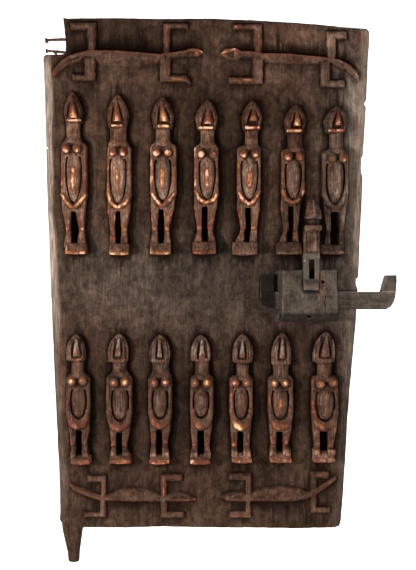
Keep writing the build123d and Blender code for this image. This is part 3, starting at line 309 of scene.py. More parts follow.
def get_points(me):
    co = np.zeros(len(me.vertices) * 3, np.float32)
    me.vertices.foreach_get("co", co)
    return co.reshape(-1, 3)


def build_mesh(name, points, quads):
    me = bpy.data.meshes.new(name)
    me.vertices.add(len(points))
    me.vertices.foreach_set("co", to_world(points).astype(np.float32).ravel())
    me.loops.add(quads.size)
    me.loops.foreach_set("vertex_index", quads.astype(np.int32).ravel())
    me.polygons.add(len(quads))
    me.polygons.foreach_set("loop_start", np.arange(0, quads.size, 4, dtype=np.int32))
    me.update(calc_edges=True)
    me.validate()
    ob = bpy.data.objects.new(name, me)
    bpy.context.scene.collection.objects.link(ob)
    return ob


def push(ob, amount):
    """Moves each point along its normal by amount millimetres."""
    me = ob.data
    co = get_points(me)
    no = np.zeros(len(me.vertices) * 3, np.float32)
    me.vertices.foreach_get("normal", no)
    co += no.reshape(-1, 3) * (np.asarray(amount)[:, None] / 1000.0)
    me.vertices.foreach_set("co", co.ravel())
    me.update()


def thin_out(ob, triangles):
    """Keeps the given number of triangles, most of them where the surface bends."""
    me = ob.data
    have = sum(len(p.vertices) - 2 for p in me.polygons) if len(me.polygons) < 1000 else 2 * len(me.polygons)
    if have > triangles:
        mod = ob.modifiers.new("thin", "DECIMATE")
        mod.ratio = triangles / have
        mod.use_collapse_triangulate = True
        deps = bpy.context.evaluated_depsgraph_get()
        new = bpy.data.meshes.new_from_object(ob.evaluated_get(deps))
        ob.modifiers.clear()
        ob.data = new
        bpy.data.meshes.remove(me)
        new.name = ob.name
    ob.data.polygons.foreach_set("use_smooth", [True] * len(ob.data.polygons))
    return ob


def paint(ob, name, values):
    a = ob.data.attributes.new(name, "FLOAT", "POINT")
    a.data.foreach_set("value", np.asarray(values, np.float32))


# ------------------------------------------------------------------ one carved figure
HEAD_U = [0.0, 0.30, 0.58, 0.80, 0.93, 1.0]
HEAD_W = [1.0, 0.87, 0.64, 0.38, 0.18, 0.0]
HELMET_W = [1.0, 0.93, 0.75, 0.49, 0.25, 0.0]


# how far each figure's forearms swing out and down between elbow and hand
BEND = [(0.3, 0.6), (0.6, 1.0), (0.2, 0.8), (0.6, 1.0), (0.4, 1.0), (0.7, 1.2), (0.8, 1.2)] + [(0.6, 1.0)] * 7
BOW = [(0.45, 0.52), (0.36, 0.60), (0.45, 0.50), (0.36, 0.60), (0.42, 0.54), (0.34, 0.62), (0.40, 0.54),
       (0.26, 0.66), (0.28, 0.68), (0.34, 0.62), (0.26, 0.68), (0.32, 0.62), (0.36, 0.58), (0.26, 0.68)]


def lap(X, Z, f):
    """Distance to the rounded lower body of a figure in the lower row."""
    al, ar, zs = f["arms"]
    hx, hz, zl, zr = f["hands"]
    top = zl + 9.0
    wide, deep = (ar - al) / 2 - 0.2, top - hz + 0.6
    far = (np.abs((X - (al + ar) / 2) / wide) ** 2.5 + np.maximum((top - Z) / deep, 0) ** 2.5 + 1e-6) ** 0.4
    return (far - 1.0) * wide * 0.95


def leg_gap(X, Z, f):
    """Outline of the slot between the legs, closing in to a point on the plinth."""
    t, k, p = f["thigh"], f["knee"], f["plinth"][2]
    top, foot = f["hands"][1] - 4.4, f["foot"]
    fm = (foot[1] + foot[2]) / 2
    tm = (t[1] + t[2]) / 2
    fw = (foot[2] - foot[1]) / 2
    tw = (t[2] - t[1]) / 2 - 0.2
    sharp = 0.35 if f["n"] in (0, 1, 2, 4) else 0.8
    return polygon(X, Z, [(tm - tw * 0.75, top), (tm + tw * 0.75, top), (tm + tw, top - 5), (k[2], k[4] + 2),
                          (foot[2] - 0.1, k[4] - 9), (fm + fw * (0.5 + sharp / 2), p + 8), (fm + fw * sharp, p + 1.5),
                          (fm - fw * sharp, p + 1.5), (fm - fw * (0.5 + sharp / 2), p + 8),
                          (foot[1] + 0.1, k[4] - 9), (k[1], k[4] + 2), (tm - tw, top - 5)])


def carve(fd, f, k, grooves):
    """Adds a standing figure on its wedge plinth. k flattens it; grooves: how many
    lines are cut down its head."""
    al, ar, zs = f["arms"]
    bl, br, bt, bb = f["belly"]
    hx, hz, zl, zr = f["hands"]
    nl, nr, nz = f["neck"]
    pl, pr, pt, pb = f["plinth"]
    ax, az = f["apex"]
    hl, hr, hw = f["head"]
    hb = f["head_base"]
    n0, n1, nb = f["nose"][2:]
    nb = nb - (0.0 if k == 1.0 else 1.3)
    nx, nt = f["nose"][:2]
    nt = nt + (0.0 if k == 1.0 else 2.5)
    c0, c1, ct, cb = f["chin"]
    tz, kz, fz = f["thigh"][4], f["knee"][4], f["foot"][4]
    cut, X, Z, H = fd.part((min(al, pl) - 5, pb - 5, -5), (max(ar, pr) + 5, az + 5, 33))
    H = np.where(H > 0, H / k, H)
    X, Z, H = X.astype(np.float32), Z.astype(np.float32), H.astype(np.float32)
    cx = (hl + hr) / 2
    cn, rn = (nl + nr) / 2, (nr - nl) / 2

    # shoulders and neck
    body = rod(X, Z, H, (al + 6.0, zs - 0.5, 9.5), (ar - 6.0, zs - 0.5, 9.5), 5.8, 5.8)
    neck = np.sqrt((X - cn) ** 2 + np.maximum(H - 7.0, 0) ** 2)
    neck = neck - (rn + 0.25 + 3.2 * np.exp(-((Z - nz + 2.5) / 4.2) ** 2) + 0.5 * np.exp(-((Z - hb + 1) / 2.5) ** 2))
    neck = smax(neck, np.maximum(nz - 6 - Z, Z - hb - 3), 2.0)
    body = smin(body, neck, 3.0)
    # arms, a raised bar at each side
    for x, zz, s in ((al, zl, 1), (ar, zr, -1)):
        arm = rod(X, Z, H, (x + s * 3.6, zs - 1.5, 13.6), (x + s * 2.8, zz, 14.8), 3.3, 2.8)
        body = smin(body, arm, 1.6)
    # the wood between the arms, cut away in a narrow slot around the belly
    upper = k == 1.0
    mx, mz, rx = (bl + br) / 2, bb + (bt - bb) * (0.60 if upper else 0.52), (br - bl) / 2 + 0.9
    up, down = bt + 4.5 - mz, mz - bb + 2.5
    rz = np.where(Z > mz, up, down)
    full = np.where(Z > mz, 3.4 if upper else 2.8, 1.75 if upper else 2.5)
    back = polygon(X, Z, [(al + 1.6, zs), (al + 1.6, zl), (hx, hz + 5), (ar - 1.6, zr), (ar - 1.6, zs)])
    back = slab(back, H, 16.4 + (0.0 if upper else 2.6) * ramp(-Z, -zl - 12.0, -zl - 1.0), 1.7)
    oval = (np.sqrt(np.abs((X - mx) / (rx + 1.1)) ** 2 + np.abs((Z - mz) / (rz + 0.9)) ** full + 1e-6) - 1) * rx
    body = smin(body, back, 0.8)
    sole = 5.0 + (0.0 if upper else 8.0) * ramp(-Z, -bb - 9.0, -bb - 1.0)
    body = smax(body, -np.maximum(np.maximum(oval, sole - H), Z - bt + (4.0 if upper else 2.5)), 0.7)
    # long belly
    dx, dz, dh = np.abs(X - mx) / rx, np.abs(Z - mz) / rz, np.maximum(H - 8.6, 0) / 14.0
    q = np.sqrt(dx ** 2.2 + dz ** full + dh ** 2 + 1e-6)
    belly = (q - 1.0) * rx * 0.92
    body = smin(body, belly, 0.6)
    # hips under the forearms
    t0, t1, t2, t3 = f["thigh"][:4]
    hip = polygon(X, Z, [(al + 0.9, zl + 2), (hx, hz + 6), (ar - 0.9, zr + 2), (t3 + 0.4, tz - 4),
                         (t2 + 0.6, hz - 3.2), (t1 - 0.6, hz - 3.2), (t0 - 0.4, tz - 4)])
    body = smin(body, slab(hip, H, 15.6, 1.6), 1.0)
    # forearms, rising to the joined hands: straight above, rounder in the lower row
    bend, drop = BEND[f["n"]]
    if not upper:       # one smooth rounded lap, the forearms a raised rim around it
        side = lap(X, Z, f)
        pad = slab(side + 0.4, H, 18.2, 2.2)
        pad = np.maximum(pad, Z - zl - 9.0)
        pad = smax(pad, -np.maximum(np.maximum(oval, sole - H), Z - bt), 0.7)
        body = smin(body, pad, 0.8)
        rise = 17.0 + 1.6 * np.exp(-((X - hx) / 7.0) ** 2)
        rim = np.sqrt((side + 3.0) ** 2 + np.maximum(H - rise, 0) ** 2) - 3.1
        rim = np.maximum(rim, Z - zl - 5.0)
        body = smin(body, rim, 0.9)
    for x, zz, s, top in () if not upper else ((al + 3.0, zl, 1, 19.6), (ar - 3.0, zr, -1, 19.4)):
        end = (hx - s * 2.1, hz + 2.3, top)
        mid = (x + (end[0] - x) * BOW[f["n"]][0] - s * bend, zz + (end[1] - zz) * BOW[f["n"]][1] - drop, 17.6)
        fat = 0.5 if upper else 0.9
        fore = rod(X, Z, H, (x, zz + 1.5, 14.9), mid, 3.3 + fat * 0.6, 3.2 + fat)
        fore = smin(fore, rod(X, Z, H, mid, end, 3.2 + fat, 2.7 + fat), 1.0)
        body = smin(body, fore, 0.5)
    hand = rod(X, Z, H, (hx - 1.9, hz + 1.6, 20.2), (hx + 1.9, hz + 1.6, 20.2), 2.2, 2.2)
    body = smin(body, hand, 0.5 if upper else 1.5)
    # breasts, hanging from the shoulders
    b0, z0, b1, z1, rb = f["breast"]
    for bx, bz in ((b0, z0), (b1, z1)):
        if upper:
            cone = rod(X, Z, H, (bx, bz + 5.5, 12.0), (bx, bz - 1.8, 20.4), rb - 0.7, rb - 1.0, filled=False)
        else:
            cone = rod(X, Z, H, (bx, bz + 3.0, 12.0), (bx, bz - 0.8, 19.4), rb - 0.3, rb - 0.3, filled=False)
        body = smin(body, cone, 0.5)
    # legs with a sharp knee
    zk = [pt - 6, fz, kz - 4.5, kz - 0.6, kz + 2.0, tz - 2, hz + 6]
    z1d = Z[0, :, 0]
    for i in (0, 2):
        x0 = np.interp(z1d, zk, [f["foot"][i], f["foot"][i], f["knee"][i], f["knee"][i], f["knee"][i], f["thigh"][i], f["thigh"][i]])
        x1 = np.interp(z1d, zk, [f["foot"][i + 1], f["foot"][i + 1], f["knee"][i + 1], f["knee"][i + 1], f["knee"][i + 1], f["thigh"][i + 1], f["thigh"][i + 1]])
        top = np.interp(z1d, zk, [18.0, 18.0, 15.0, 19.6, 20.6, 15.8, 15.6])
        x0, x1, top = (v.astype(np.float32)[None, :, None] for v in (x0, x1, top))
        side = np.abs(X - (x0 + x1) / 2) - (x1 - x0) / 2
        leg = slab(side, H, top, 1.7)
        leg = np.maximum(leg, np.maximum(pt - 6 - Z, Z - hz - 4))
        body = smin(body, leg, 1.0)
    # the slot between the legs is cut down to the ground and a little deeper
    gap = leg_gap(X, Z, f)
    # wedge plinth
    step, edge = (20.0, 3.6) if k == 1.0 else (4.0, 6.0)
    bow = 0.9 * ((X - (pl + pr) / 2) / (pr - pl)) ** 2 * 4
    zt, zb = pt - Z, pb + bow - Z
    run = math.hypot(29.0 - step, pt - pb - edge)
    slope = ((Z - pt) * (29.0 - step) + (H - step) * (pt - pb - edge)) / run
    wide = (pr - pl) / 2 - (0.0 if k == 1.0 else 1.0) * ramp(Z, pb, pt)
    plinth = smax(slope, zb, 0.9)
    plinth = smax(plinth, H - 29.0, 0.9)
    plinth = smax(plinth, Z - pt, 0.6)
    plinth = smax(plinth, np.abs(X - (pl + pr) / 2) - wide, 1.2)
    body = smin(body, plinth, 0.7)
    # pointed head
    u = (Z - hw) / (az + 0.8 - hw)
    w = np.where(u > 0, np.interp(u, HEAD_U, HEAD_W if upper else HELMET_W),
                 1.0 + (0.20 if upper else 0.06) * u * (az - hw) / (hw - hb))
    w = (w * (hr - hl) / 2).astype(np.float32)
    axis_x = np.where(Z > hw, cx + (ax - cx) * np.clip(u, 0, 1), cx).astype(np.float32)
    front = 13.4 / ((hr - hl) / 2)
    across = X - axis_x
    dh = np.maximum(H - 10.6, 0) / front
    head = (np.sqrt(across ** 2 + dh ** 2 + 0.01) - w) * 0.86
    if grooves:
        turn = across / np.maximum(w, 1.5)
        head = head + 1.15 * np.cos(turn * math.pi * grooves) * ramp(H, 12, 17) * ramp(w, 2.5, 6)
    head = smax(head, hb - Z + 0.05 * np.abs(across), 1.3)
    # face cut back on both sides of the nose
    t = np.clip((Z - nb) / (nt - nb), 0, 1)
    nose_x = (n0 + n1) / 2 * (1 - t) + nx * t
    half = (n1 - n0) / 2 * (1.0 if upper else 0.86) * (1 - t) + (1.1 if k == 1.0 else 0.8) * t
    if upper:
        face = np.abs(X - nose_x) - (half + 3.8 - 2.2 * t)
    else:
        face = np.abs(X - nose_x) - ((n1 - n0) / 2 + 2.3) * np.sqrt(1.02 - 0.94 * t ** 2.4)
    face = np.maximum(face, np.maximum(Z - nt - 2.5, ct - 1.0 - Z))
    floor = 17.0 + 1.4 * t
    head = smax(head, -np.maximum(face, floor - H), 0.8)
    # wedge nose, its face nearly flat
    ridge = 27.2 - 7.6 * t ** 1.15
    lean = np.abs(X - nose_x)
    nose = slab((lean - half - 0.25) * 0.95, H + 0.42 * lean, ridge, 0.8) * 0.93
    nose = smax(nose, nb - Z - 0.12 * (H - 16), 0.5)
    nose = np.maximum(nose, Z - nt - 1.0)
    head = smin(head, nose, 0.35)
    # chin bar
    r = max((ct - cb) / 2, 1.7) if upper else min((ct - cb) / 2, 1.7)
    zc = (ct + cb) / 2
    droop = 0.5
    ch = 21.6 if upper else 19.6
    chin = rod(X, Z, H, (c0 + r, zc + droop, ch), (cx * 0.5 + (c0 + c1) * 0.25, zc - droop * 0.6, ch + 0.7), r, r)
    chin = np.minimum(chin, rod(X, Z, H, (cx * 0.5 + (c0 + c1) * 0.25, zc - droop * 0.6, ch + 0.7),
                                (c1 - r, zc + droop, ch), r, r))
    chin = np.maximum(chin, cb - 1.2 - Z)
    head = smin(head, chin, 0.5)
    body = smin(body, head, 0.7)
    body = smax(body, -np.maximum(gap, -3.0 - H), 0.8)
    fd.v[cut] = np.minimum(fd.v[cut], body)
    return gap, cut


# ------------------------------------------------------------------ the leaf
OUT_L = np.array(sorted((z, x) for x, z in OUTLINE if x < -15 and 50 < z < 726))
OUT_R = np.array(sorted((z, x) for x, z in OUTLINE if x > 370 and z > 50))
SPLIT = [14, 13, 15, 12]          # where each lizard's outline turns back at its nose
GROOVES = [0, 0, 0, 0, 0, 0, 0, 0, 5, 7, 3, 7, 7, 5]


TAILS = [[(-34.0, 692.5, 3.0), (-24.5, 704.5, 4.6), (-11.0, 716.0, 5.6), (6.0, 722.5, 6.0)],
         [(414.5, 683.5, 2.8), (403.0, 698.0, 3.9), (390.0, 709.5, 4.6), (374.0, 715.5, 4.6)],
         [(-5.0, 112.5, 2.6), (10.0, 104.0, 3.4), (26.0, 98.0, 3.4), (40.0, 94.5, 3.0)],
         [(381.5, 127.5, 2.4), (368.0, 117.5, 3.4), (350.0, 105.5, 4.0), (336.0, 97.5, 4.0)]]


def ground_height(X, Z):
    """Height of the leaf's face, with the lizards and the long hollows of the adze."""
    shape = np.broadcast(X, Z).shape
    p = np.stack([np.broadcast_to(X, shape).ravel(), np.broadcast_to(Z, shape).ravel(),
                  np.zeros(shape[0] * shape[1])], 1).astype(np.float64)
    g = (0.50 * noise(p, (42, 90, 9), 3) + 0.16 * noise(p, (12, 34, 9), 5)
         + 0.08 * noise(p, (5, 12, 9), 7)).reshape(shape).astype(np.float32)
    # the ground is lowered along the outer side of each lizard
    for n, body in enumerate(LIZARD_BODIES):
        turn = SPLIT[n]
        if n in (0, 2):
            top, low = body[:turn + 1], body[turn:]
        else:
            top, low = body[:turn + 1], body[turn:]
        top, low = np.array(sorted(top)), np.array(sorted(low))
        x0, x1 = max(top[0, 0], low[0, 0]), min(top[-1, 0], low[-1, 0])
        zt = np.interp(X, top[:, 0], top[:, 1])
        zl = np.interp(X, low[:, 0], low[:, 1])
        inside_x = ramp(X, x0 - 3, x0 + 12) * ramp(-X, -x1 - 3, -x1 + 12)
        if n < 2:
            away = Z - zt
            v = (Z - zl) / np.maximum(zt - zl, 1.0)
        else:
            away = zl - Z
            v = (zt - Z) / np.maximum(zt - zl, 1.0)
        hollow = np.exp(-((away - 6.0) / 6.5) ** 2) * inside_x
        g = g - (2.2 if n < 2 else 1.4) * hollow
    for n, body in enumerate(LIZARD_BODIES):
        turn = SPLIT[n]
        top, low = np.array(sorted(body[:turn + 1])), np.array(sorted(body[turn:]))
        zt = np.interp(X, top[:, 0], top[:, 1])
        zl = np.interp(X, low[:, 0], low[:, 1])
        v = (Z - zl) / np.maximum(zt - zl, 1.0)
        if n >= 2:
            v = 1.0 - v
        d = -polygon(X, Z, body)
        if n < 2:            # the upper ones slope down into the ground, with a sharp upper edge
            ends = ramp(X, min(p[0] for p in body) - 1, min(p[0] for p in body) + 10) \
                * ramp(-X, -max(p[0] for p in body) - 1, -max(p[0] for p in body) + 10)
            rise = np.sin(np.clip(v, 0, 1) * math.pi / 2).clip(0, 1) ** 1.1
            g = g + H_LIZARD * rise * ramp(zt - Z, -0.8, 1.8) * ends
        else:
            flank = 0.30 + 0.70 * np.sin(np.clip(v, 0, 1) / 0.92 * math.pi / 2).clip(0, 1)
            g = g + H_LIZARD * flank * (0.35 * ramp(d, -0.8, 1.2) + 0.65 * ramp(d, -0.6, 4.2))
    for path in TAILS:
        for (xa, za, ra), (xb, zb, rb) in zip(path, path[1:]):
            ex, ez = xb - xa, zb - za
            t = np.clip(((X - xa) * ex + (Z - za) * ez) / (ex * ex + ez * ez), 0, 1)
            d = ra + (rb - ra) * t - np.sqrt((X - xa - ex * t) ** 2 + (Z - za - ez * t) ** 2)
            g = np.maximum(g, H_LIZARD * 0.62 * ramp(d, -1.0, 1.4) - 1.2 * ramp(d, 1.6, 4.0))
    for leg in LIZARD_LEGS:
        d = -polygon(X, Z, leg)
        wide = d + 1.0 + 0.35 * np.sin(X * 0.55) * np.sin(Z * 0.43)
        g = np.maximum(g, g * 0.3 + (H_LIZARD_LEG + 0.4) * (0.55 * ramp(wide, -1.0, 1.8) + 0.45 * ramp(wide, 0.5, 6.5)))
    # heads of the upper lizards: a rimmed wedge
    for tip, back, low, s in (((186.0, 730.0), (160.0, 734.5), (160.0, 722.5), 1),
                              ((209.0, 726.0), (232.0, 734.0), (231.0, 717.5), -1),
                              ((174.5, 92.5), (150.0, 102.5), (128.0, 89.5), 1),
                              ((211.0, 92.0), (236.0, 101.0), (254.0, 89.5), -1)):
        d = -polygon(X, Z, [tip, back, low])
        g = g - 2.4 * ramp(d, 1.2, 3.4)
    # lowered patches inside the bent legs
    for x0, x1, z0, z1 in ((0, 18, 700, 716), (138, 160, 699, 716), (226, 254, 695, 711), (367, 384, 691, 707)):
        d = np.maximum(np.maximum(x0 - X, X - x1), np.maximum(z0 - Z, Z - z1))
        g = g - 1.0 * ramp(-d, -1.0, 2.0)
    # slanting, worn edges on both long sides
    xl = np.interp(Z, OUT_L[:, 0], OUT_L[:, 1])
    xr = np.interp(Z, OUT_R[:, 0], OUT_R[:, 1])
    wl = 9.0 + 1.8 * np.sin(Z * 0.021) + 1.2 * np.sin(Z * 0.057 + 1)
    body_side = ramp(Z, 58, 75) * ramp(-Z, -722, -712)
    bevel = -np.clip((wl - (X - xl)) * 0.52, 0, 7.0) * body_side
    g = np.where(X - xl < wl + 2, smin(g, bevel + 0.35, 1.0), g)
    right = -np.clip((8.0 + 1.5 * np.sin(Z * 0.03) - (xr - X)) * 0.22, 0, 3.0)
    g = np.where(xr - X < 11, smin(g, right + 0.5, 0.8), g)
    # traces of use: a small square scar, a tool mark, scratches
    d = np.maximum(np.abs(X - 118.0) - 12.0, np.abs(Z - 412.0) - 8.0)
    g = g - 0.5 * (ramp(-d, -0.8, 0.8) - 0.75 * ramp(-d, 1.0, 2.6))
    for x0, z0, x1, z1, w, deep in ((112, 362, 114, 352, 1.0, 0.6), (300, 132, 315, 112, 0.9, 0.5),
                                    (304, 137, 322, 116, 0.8, 0.45), (309, 141, 330, 121, 0.8, 0.5),
                                    (296, 131, 306, 117, 0.8, 0.4), (313, 143, 334, 126, 0.7, 0.4),
                                    (159, 73, 163, 63, 1.2, 0.8), (163, 71, 167, 62, 1.0, 0.6),
                                    (17, 392, 31, 390, 0.8, 0.4), (4, 692, 13, 676, 1.0, 0.7),
                                    (9, 694, 16, 683, 0.9, 0.6), (-2, 676, 6, 671, 1.2, 0.8)):
        ex, ez = x1 - x0, z1 - z0
        t = np.clip(((X - x0) * ex + (Z - z0) * ez) / (ex * ex + ez * ez), 0, 1)
        d = np.sqrt((X - x0 - ex * t) ** 2 + (Z - z0 - ez * t) ** 2)
        g = g - deep * np.exp(-(d / w) ** 2)
    return g.astype(np.float32)


def leaf_field():
    step = 1.1
    fd = Field((-47, -6, -34), (427, 786, 32), step)
    X, Z, H = (a.astype(np.float32) for a in fd.ax)
    X, Z, H = X[:, None, None], Z[None, :, None], H[None, None, :]
    plank = [p for p in OUTLINE if p[1] > 48] 
    edge = polygon(X[:, :, 0], Z[:, :, 0], plank)
    flat = np.stack([np.broadcast_to(X[:, :, 0], edge.shape).ravel(),
                     np.broadcast_to(Z[:, :, 0], edge.shape).ravel(), np.zeros(edge.size)], 1)
    edge = edge - 1.8 + 0.35 * noise(flat, (9, 14, 9), 11).reshape(edge.shape)
    for x, z, rx, rz in ((-40.6, 594.6, 3.2, 1.6), (418.9, 657.5, 2.6, 3.6), (414.2, 577.0, 2.4, 4.5),
                         (413.4, 565.0, 2.0, 9.0), (405.6, 402.0, 1.4, 6.0)):
        chip = (np.sqrt(((X[:, :, 0] - x) / rx) ** 2 + ((Z[:, :, 0] - z) / rz) ** 2) - 1.0) * min(rx, rz)
        edge = smax(edge, -chip, 1.2)
    g = ground_height(X[:, :, 0], Z[:, :, 0])
    fd.ground = g
    back = (-LEAF_T + 0.6 * noise(flat, (70, 55, 9), 21) + 0.5 * noise(flat, (26, 60, 9), 23)
            + 0.18 * noise(flat, (7, 30, 9), 24)).reshape(edge.shape).astype(np.float32)
    edge = edge.astype(np.float32)[:, :, None]
    face = smax((H - g[:, :, None]), (back[:, :, None] - H), 1.0)
    lean = 0.035 * (H + LEAF_T / 2)          # the sides are not quite square to the face
    fd.v = smax(face, edge + np.abs(lean), 2.4).astype(np.float32)
    # pivot peg, squared at the plank and round at its end
    cut, X, Z, H = fd.part((-30, -8, -34), (24, 70, 4))
    z1d = Z[0, :, 0]
    zk = [-2, 12, 24, 47, 70]
    x0 = np.interp(z1d, zk, [-9.6, -10.8, -12.8, -16.6, -19.5]).astype(np.float32)[None, :, None]
    x1 = np.interp(z1d, zk, [6.2, 6.8, 8.0, 10.4, 11.0]).astype(np.float32)[None, :, None]
    h0 = np.interp(z1d, zk, [-22.0, -22.2, -26.0, -29.5, -30.0]).astype(np.float32)[None, :, None]
    h1 = np.interp(z1d, zk, [-8.0, -7.8, -4.0, -0.4, 0.0]).astype(np.float32)[None, :, None]
    r = np.interp(z1d, zk, [7.0, 6.8, 6.0, 3.0, 2.0]).astype(np.float32)[None, :, None]
    qx = np.abs(X - (x0 + x1) / 2) - (x1 - x0) / 2 + r
    qh = np.abs(H - (h0 + h1) / 2) - (h1 - h0) / 2 + r
    peg = np.sqrt(np.maximum(qx, 0) ** 2 + np.maximum(qh, 0) ** 2) + np.minimum(np.maximum(qx, qh), 0) - r
    peg = smax(peg, -2.0 - Z, 3.5)
    peg = smax(peg, Z - 66.0, 2.0)
    fd.v[cut] = smin(fd.v[cut], peg, 3.0)
    for n, f in enumerate(UPPER_ROW + LOWER_ROW):
        f["n"] = n
        carve(fd, f, 1.0 if n < 7 else 0.92, GROOVES[n])
    # the slots between the legs reach a little below the ground
    for n, f in enumerate(UPPER_ROW + LOWER_ROW):
        cut, X, Z, H = fd.part((f["thigh"][0], f["plinth"][2] - 2, -5), (f["thigh"][3], f["hands"][1] + 2, 33))
        gap = leg_gap(X, Z, f)
        fd.v[cut] = smax(fd.v[cut], -np.maximum(gap, -3.0 - H), 0.8)
    return fd

# how far each figure is rubbed bare, and how strong its painted highlights and sheen are:
# nose, chin, breasts l r, belly, forearms l r, knees l r, plinth edge, arms
RUB_AND_HIGHLIGHT = [
    (.90, .75, 1.35, 1.12, .90, .92, .86, .60, .85, .74, .40),
    (1.0, .90, .92, 1.02, .85, .72, .72, .50, .50, .66, .35),
    (.95, .90, .52, .42, .80, .96, .86, .95, .90, .70, .75),
    (1.0, 1.0, 1.0, .35, .95, .86, .82, .60, .60, .34, .65),
    (.80, .90, .95, .85, 1.15, .86, .86, .70, .90, .06, .50),
    (.90, .95, .90, .60, .20, .76, .86, .30, .20, .04, .50),
    (.85, .60, .70, .65, .12, .05, .05, .05, .05, .22, .08),
    (.55, .40, .95, .85, .10, .60, .50, .50, .30, .66, .30),
    (.30, .38, .80, .95, .05, .50, .50, .70, .30, .60, .45),
    (.15, .30, 1.20, 1.05, .05, .60, .40, .30, .30, .66, .35),
    (.30, .24, 1.05, 1.15, .10, .60, .20, .60, .70, .74, .35),
    (.25, .32, 1.20, 1.15, .25, .90, .50, .60, .20, .64, .50),
    (.20, .24, 1.15, .90, .60, .50, .55, .60, .50, .60, .35),
    (.20, .20, .85, .60, .10, .60, .20, .10, .10, .34, .30),
]


SHINS = [.42, .42, .50, .40, .44, .26, .04, .20, .18, .15, .18, .12, .12, .06]
# how pale the film on each figure is
FILM = [1.20, 1.15, 1.15, 1.15, 1.10, 0.74, 0.72, 0.52, 0.52, 0.52, 0.58, 0.66, 0.66, 0.62]


NOSES = [1.2, 1.0, .92, 1.1, .76, .64, .52]


def blob(P, x, z, rx, rz):
    return np.exp(-((P[:, 0] - x) / rx) ** 2 - ((P[:, 1] - z) / rz) ** 2)


def stroke(P, x0, z0, x1, z1, r):
    ex, ez = x1 - x0, z1 - z0
    t = np.clip(((P[:, 0] - x0) * ex + (P[:, 1] - z0) * ez) / (ex * ex + ez * ez + 1e-9), 0, 1)
    return np.exp(-((P[:, 0] - x0 - ex * t) ** 2 + (P[:, 1] - z0 - ez * t) ** 2) / r ** 2)


def shape_tones(fd, P):
    """How sharply the wood stands out and how deep it lies, at the points P."""
    r1, r2 = max(1, round(2.0 / fd.step)), max(2, round(6.5 / fd.step))
    edge = sample(fd, blur(np.clip(fd.v, -3.5, 3.5), r1), P)
    full = sample(fd, blur((fd.v < 0).astype(np.float32), r2), P)
    return edge, full


